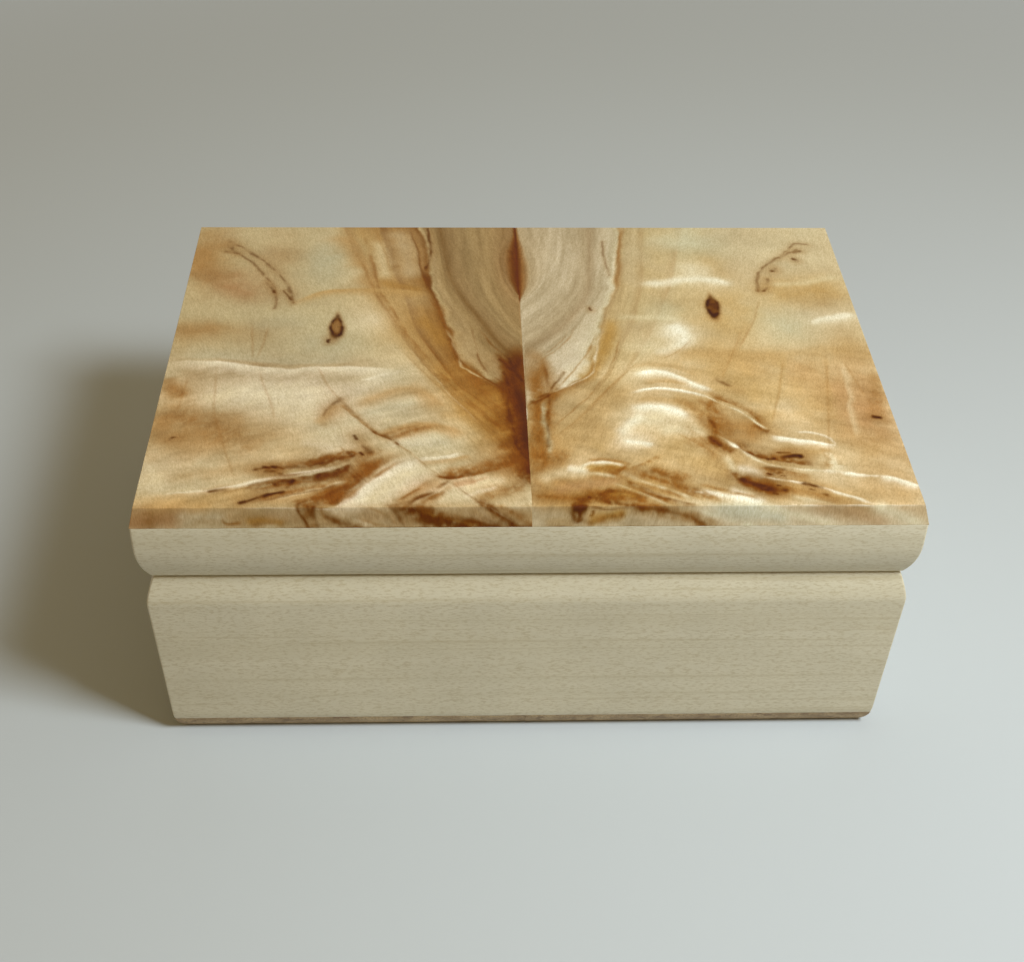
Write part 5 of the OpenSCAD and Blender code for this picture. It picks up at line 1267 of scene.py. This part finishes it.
u = np.concatenate([[0, 0.16], np.arange(0.5, 122.2, 0.5), np.linspace(122.4, 124.92, 16)])
v = np.concatenate([np.linspace(-88.92, -83.6, 20), np.arange(-83.2, 2, 0.44), np.arange(2, 86.2, 0.68),
                    np.linspace(86.5, 88.92, 14)])
gx, gy = np.meshgrid(u, v, indexing="ij")
thick = BOX_H - RAIL_TOP
BEVEL_UNROLL = 0.62   # extra length of figure for each millimetre that the bevel drops
height = soft_min(soft_min(thick * (BOX_W / 2 - gx) / EDGE_LEAN, thick * (BOX_D / 2 - gy) / EDGE_LEAN, 0.6),
                  soft_min(thick * (gy + BOX_D / 2) / FRONT_BEVEL, thick + 0 * gx, 0.22), 0.5)
SEAM_DEPTH, SEAM_REACH, LEAST = 0.1, 0.2, 0.12
height = np.maximum(height - SEAM_DEPTH * np.exp(-(gx / SEAM_REACH) ** 2), LEAST)
HALVES = {
    "left": (-1, RINGS_LEFT, STOPS_LEFT, WASHES_LEFT, STROKES_LEFT, MARKS_LEFT, HAIRS_LEFT, KNOT_LEFT,
             TINT_AND_SHADE_LEFT, 5),
    "right": (1, RINGS_RIGHT, STOPS_RIGHT, WASHES_RIGHT, STROKES_RIGHT, MARKS_RIGHT, HAIRS_RIGHT, KNOT_RIGHT,
              TINT_RIGHT, 41),
}
for side, (sign, *tables) in HALVES.items():
    points, faces = over_plan(sign * gx, gy, RAIL_TOP + height, RAIL_TOP)
    fold = thick * np.clip(1 - (points[:, 1] + BOX_D / 2) / FRONT_BEVEL, 0, 1)
    tone = figure_colour(points[:, 0], points[:, 1] - BEVEL_UNROLL * fold, *tables) / 255
    board = make_piece(f"top_{side}", points, faces, "lid", [f"top_board_{side}"], "figured_wood", figured,
                       {"figure": to_linear(tone)})
    print(board.name, len(board.data.polygons), "faces")

# %% [markdown]
# ## Felt linings
#
# Three sheets of felt are cut a little smaller than their places and glued down: one on the bottom, one inside
# the lid and one in the tray. Felt is soft, so each sheet is a thin grid with rounded edges and a barely uneven
# face.

# %% Felt sheets
def felt_sheet(name, width, depth, middle, base, up, body, node, seed):
    """Sheet of felt: full thickness inside, rounded over its last half millimetre, with a soft unevenness."""
    ease = np.array([0, 0.08, 0.2, 0.4, 0.7])
    u = np.concatenate([ease, np.arange(2, width - 1.4, 2.5), width - ease[::-1]]) - width / 2
    v = np.concatenate([ease, np.arange(2, depth - 1.4, 2.5), depth - ease[::-1]]) - depth / 2
    x, y = np.meshgrid(u, v, indexing="ij")
    inset = np.minimum(width / 2 - np.abs(x), depth / 2 - np.abs(y))
    rounded = 0.5 * (1 - np.sqrt(np.clip(1 - np.clip(1 - inset / 0.5, 0, 1) ** 2, 0, 1)))
    swell = 0.05 * (lattice_noise(x, y, 9, seed) - 1.6)
    z = base + up * (FELT_T - rounded + swell * step(inset, 0, 1))
    return make_piece(name, *over_plan(x + middle, y, z, base), body, [node], "felt", felt)


base_felt = felt_sheet("felt_base", FELT_W, FELT_D, 0, BOTTOM_T, 1, "base", "base_lining", 11)
lid_felt = felt_sheet("felt_lid", FELT_W, FELT_D, 0, RAIL_TOP, -1, "lid", "lid_lining", 12)
tray_felt = felt_sheet("felt_tray", TRAY_FELT_W, TRAY_FELT_D, TRAY_X, TRAY_FELT_Z, 1, "tray", "tray_lining", 13)
print("felt sheets:", base_felt.name, lid_felt.name, tray_felt.name)

# %% [markdown]
# ## The sliding tray
#
# The tray is a small mitred frame grooved for a thin floor, like a drawer. Its right wall has a finger notch to
# pull it along the runners. The walls use the same sweep as the box. For the notch, the upper part of the loop
# is lowered by the depth of a circle, so its eased edge follows the dip.

# %% Tray walls
def notch(x):
    """Depth of the finger notch at each place along the wall: the part of a circle that dips below the top."""
    reach = math.sqrt(NOTCH_R ** 2 - (NOTCH_R - NOTCH_D) ** 2)
    return np.where(np.abs(x) < reach, np.sqrt(np.maximum(NOTCH_R ** 2 - x ** 2, 0)) - (NOTCH_R - NOTCH_D), 0)


spots = np.concatenate([[-50, -25], np.linspace(-9.4, 9.4, 61), [25, 50]])
for side, (turn, run, half) in four_sides(TRAY_L, TRAY_D).items():
    extra = {"along": spots, "drop": notch} if side == "right" else {}
    points, faces = carried(mitred(tray_loop(), turn, run, half, TRAY_T, 0.6, **extra))
    make_piece(f"tray_{side}", points + [TRAY_X, 0, TRAY_Z], faces, "tray", [f"tray_{side}_wall"], "tray_wood",
               tray_long if run == TRAY_L else tray_side)
print("tray walls:", [name for name in pieces if name.startswith("tray_")])

# %% [markdown]
# Floor, dividers, runners and hinge leaves are plain machined shapes, so the CAD mesh already has their form. A
# copy of it is merged, and a Bevel modifier eases its arrises so that they catch a thin line of light.

# %% Machined pieces from copies of the CAD mesh
def from_cad(name, node, body, material, ease):
    """Copy of a CAD node's mesh, merged into a clean shell and finished with a small bevel."""
    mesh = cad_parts[node].data.copy()
    work = bmesh.new()
    work.from_mesh(mesh)
    bmesh.ops.remove_doubles(work, verts=work.verts, dist=2e-6)
    bmesh.ops.dissolve_limit(work, angle_limit=math.radians(1), verts=work.verts, edges=work.edges)
    bmesh.ops.recalc_face_normals(work, faces=work.faces)
    work.to_mesh(mesh)
    work.free()
    piece = register(name, mesh, body, [node], material, 30)
    bevel = piece.modifiers.new("ease", "BEVEL")
    bevel.width, bevel.segments, bevel.limit_method, bevel.angle_limit = ease / 1000, 2, "ANGLE", math.radians(40)
    bevel.harden_normals = False
    return piece


from_cad("tray_base", "tray_floor", "tray", tray_long, 0.2)
from_cad("divider_cross", "tray_cross_divider", "tray", tray_side, 0.35)
from_cad("divider_long", "tray_long_dividers", "tray", tray_long, 0.35)
from_cad("runner_front", "tray_runner_front", "base", tray_long, 0.4)
from_cad("runner_back", "tray_runner_back", "base", tray_long, 0.4)
for side in ("left", "right"):
    from_cad(f"{side}_leaf_base", f"{side}_hinge_lower_leaf", "base", brass, 0.08)
    from_cad(f"{side}_leaf_lid", f"{side}_hinge_upper_leaf", "lid", brass, 0.08)
print("machined pieces:", len(pieces))

# %% [markdown]
# ## Hinge pins and screws
#
# Pins and screws come off a lathe, so each is a profile of radius against height turned round an axis. The
# screw heads are countersunk. A slot is pressed into each head by lowering the points that lie near its middle
# line.

# %% Turned pieces
def lathe(profile, around=48):
    """Surface of revolution: each (radius, height) of the profile is turned in even steps round the Z axis."""
    r, z = np.asarray(profile, float).T
    a = np.linspace(0, 2 * np.pi, around, endpoint=False)
    return np.stack(np.broadcast_arrays(r[:, None] * np.cos(a), r[:, None] * np.sin(a), z[:, None]), -1)


def repeat_shell(loops, places):
    """The same shell at several places, as one set of points and faces."""
    points, faces = carried(loops)
    moved = (points[None] + np.asarray(places, float)[:, None]).reshape(-1, 3)
    faces = [np.array(face) for face in faces]
    return moved, [(face + k * len(points)).tolist() for k in range(len(places)) for face in faces]


def screw_loops(slot_turn=25, slot_deep=0.4):
    """Countersunk screw hanging below its head: flat slotted head, cone, shank and point."""
    head = [(0.02, 0), (0.5, 0), (0.9, 0), (1.2, 0), (1.45, 0), (1.6, 0)]
    rest = [(1.69, -0.06), (0.8, -0.9), (0.8, -8.2), (0.2, -9.0)]
    loops = lathe(head + rest, 64)
    a = math.radians(slot_turn)
    across = np.abs(loops[..., 0] * math.sin(a) - loops[..., 1] * math.cos(a))
    flat = slice(len(head))
    loops[flat, :, 2] -= slot_deep * (1 - step(across[flat], 0.2, 0.34))
    return loops


spots = [(x + dx, PIN_Y - SCREW_IN, -SCREW_SINK) for x in (-HINGE_X, HINGE_X) for dx in (-SCREW_STEP, 0, SCREW_STEP)]
points, faces = repeat_shell(screw_loops(), spots)
make_piece("screws_base", points + [0, 0, PIN_Z], faces, "base", ["hinge_lower_screws"], "brass", brass)
make_piece("screws_lid", points * [1, 1, -1] + [0, 0, PIN_Z], faces, "lid", ["hinge_upper_screws"], "brass", brass)
DOME_H = 0.35
dome = np.linspace(0, np.pi / 2, 6)
end = np.stack([np.cos(dome), np.sin(dome) * DOME_H], -1) + [0, HINGE_L / 2 - DOME_H]
end[-1, 0] = 0.03
pin = lathe(np.vstack([(end * [1, -1])[::-1], end]), 40)
for side, x in (("left", -HINGE_X), ("right", HINGE_X)):
    points, faces = carried(pin)
    make_piece(f"{side}_pin", points[:, [2, 0, 1]] + [x, PIN_Y, PIN_Z], faces, "base", [f"{side}_hinge_pin"], "brass",
               brass)
print("pieces:", len(pieces))

# %% [markdown]
# ## Floor, light and camera
#
# The box stands on a plain pale table. Far from the box the table fades into a pale backdrop, which only rays
# that come straight from the camera, off a gloss or through something clear can see. Soft light isn't changed
# by it.

# %% Floor
def seen_directly(tree):
    """One for rays from the camera, off a glossy surface or through a clear one, and zero for soft bounced light."""
    rays = add(tree, "ShaderNodeLightPath").outputs
    straight = maths(tree, "MAXIMUM", rays["Is Camera Ray"], rays["Is Glossy Ray"])
    return maths(tree, "MAXIMUM", straight, rays["Is Transmission Ray"])


BACKDROP = srgb(190, 196, 198)
FADE_FROM, FADE_TO, REACH = 0.42, 1.3, 3.0   # metres from the middle of the box
floor_mat, tree, shader = new_material("pale_floor")
set_values(shader, {"Base Color": srgb(192, 198, 202), "Roughness": 0.55, "Specular IOR Level": 0.1})
where = add(tree, "ShaderNodeTexCoord").outputs["Object"]
away = add(tree, "ShaderNodeVectorMath", {0: where}, operation="LENGTH").outputs["Value"]
far = maths(tree, "MULTIPLY", spread(tree, away, FADE_FROM, FADE_TO), seen_directly(tree))
faded = add(tree, "ShaderNodeMixShader", {0: far, 1: shader.outputs[0],
                                          2: add(tree, "ShaderNodeEmission", {"Color": BACKDROP}).outputs[0]})
tree.links.new(faded.outputs[0], tree.nodes["Material Output"].inputs["Surface"])
mesh = bpy.data.meshes.new("floor")
mesh.from_pydata([(-REACH, -REACH, 0), (REACH, -REACH, 0), (REACH, REACH, 0), (-REACH, REACH, 0)], [],
                 [(0, 1, 2, 3)])
mesh.materials.append(floor_mat)
floor = bpy.data.objects.new("floor", mesh)
bpy.context.scene.collection.objects.link(floor)
print("floor", 2 * REACH, "m wide")

# %% [markdown]
# A soft lamp on the right throws the warm shadow to the left, a wide dim panel behind gives the lid its silk,
# and a low even sky fills the rest. The sky is warm where it lights and pale where it is seen.

# %% Lights
def area_light(name, spot, target, size, power, tint):
    """Square area lamp at a spot (metres), turned to face a target."""
    data = bpy.data.lights.new(name, "AREA")
    data.shape, data.size, data.energy, data.color = "SQUARE", size, power, tint
    lamp = bpy.data.objects.new(name, data)
    bpy.context.scene.collection.objects.link(lamp)
    way = Vector(target) - Vector(spot)
    lamp.matrix_world = Matrix.Translation(spot) @ way.to_track_quat("-Z", "Y").to_matrix().to_4x4()


area_light("key", (0.45, -0.34, 0.80), (0, 0, 0.05), 0.26, 8.5, (0.89, 0.965, 1.0))
area_light("back_panel", (0.1, 0.75, 1.1), (0.1, 0.3, 0), 0.9, 1.15, (0.86, 0.96, 1.0))
FILL = (0.283, 0.2025, 0.084, 1.0)
world = bpy.data.worlds.new("soft_sky")
world.use_nodes = True
tree = world.node_tree
sky = blend(tree, seen_directly(tree), FILL, BACKDROP)
tree.links.new(sky, tree.nodes["Background"].inputs["Color"])
bpy.context.scene.world = world

# %% [markdown]
# The camera stands half a metre from the front edge, and above it, where the lines of the box say that the
# photographer stood. Its three angles turn it about the upright axis, down and about its own line of sight.

# %% Camera
EYE = (-0.022986, -0.463130, 0.415631)
YAW, PITCH, ROLL = (math.radians(v) for v in (-2.49863, 38.84447, -1.33051))
turn = Matrix.Rotation(YAW, 3, "Z") @ Matrix.Rotation(-PITCH, 3, "X") @ Matrix.Rotation(ROLL, 3, "Y")
right, forward, up = turn.col
camera_data = bpy.data.cameras.new("camera")
camera_data.lens, camera_data.sensor_width, camera_data.sensor_fit = 55.55, 36.0, "HORIZONTAL"
camera = bpy.data.objects.new("camera", camera_data)
bpy.context.scene.collection.objects.link(camera)
camera.matrix_world = Matrix.Translation(EYE) @ Matrix((right, up, -forward)).transposed().to_4x4()
bpy.context.scene.camera = camera
bpy.context.scene.view_settings.view_transform = "Standard"
print("camera at", [round(v, 3) for v in camera.location])
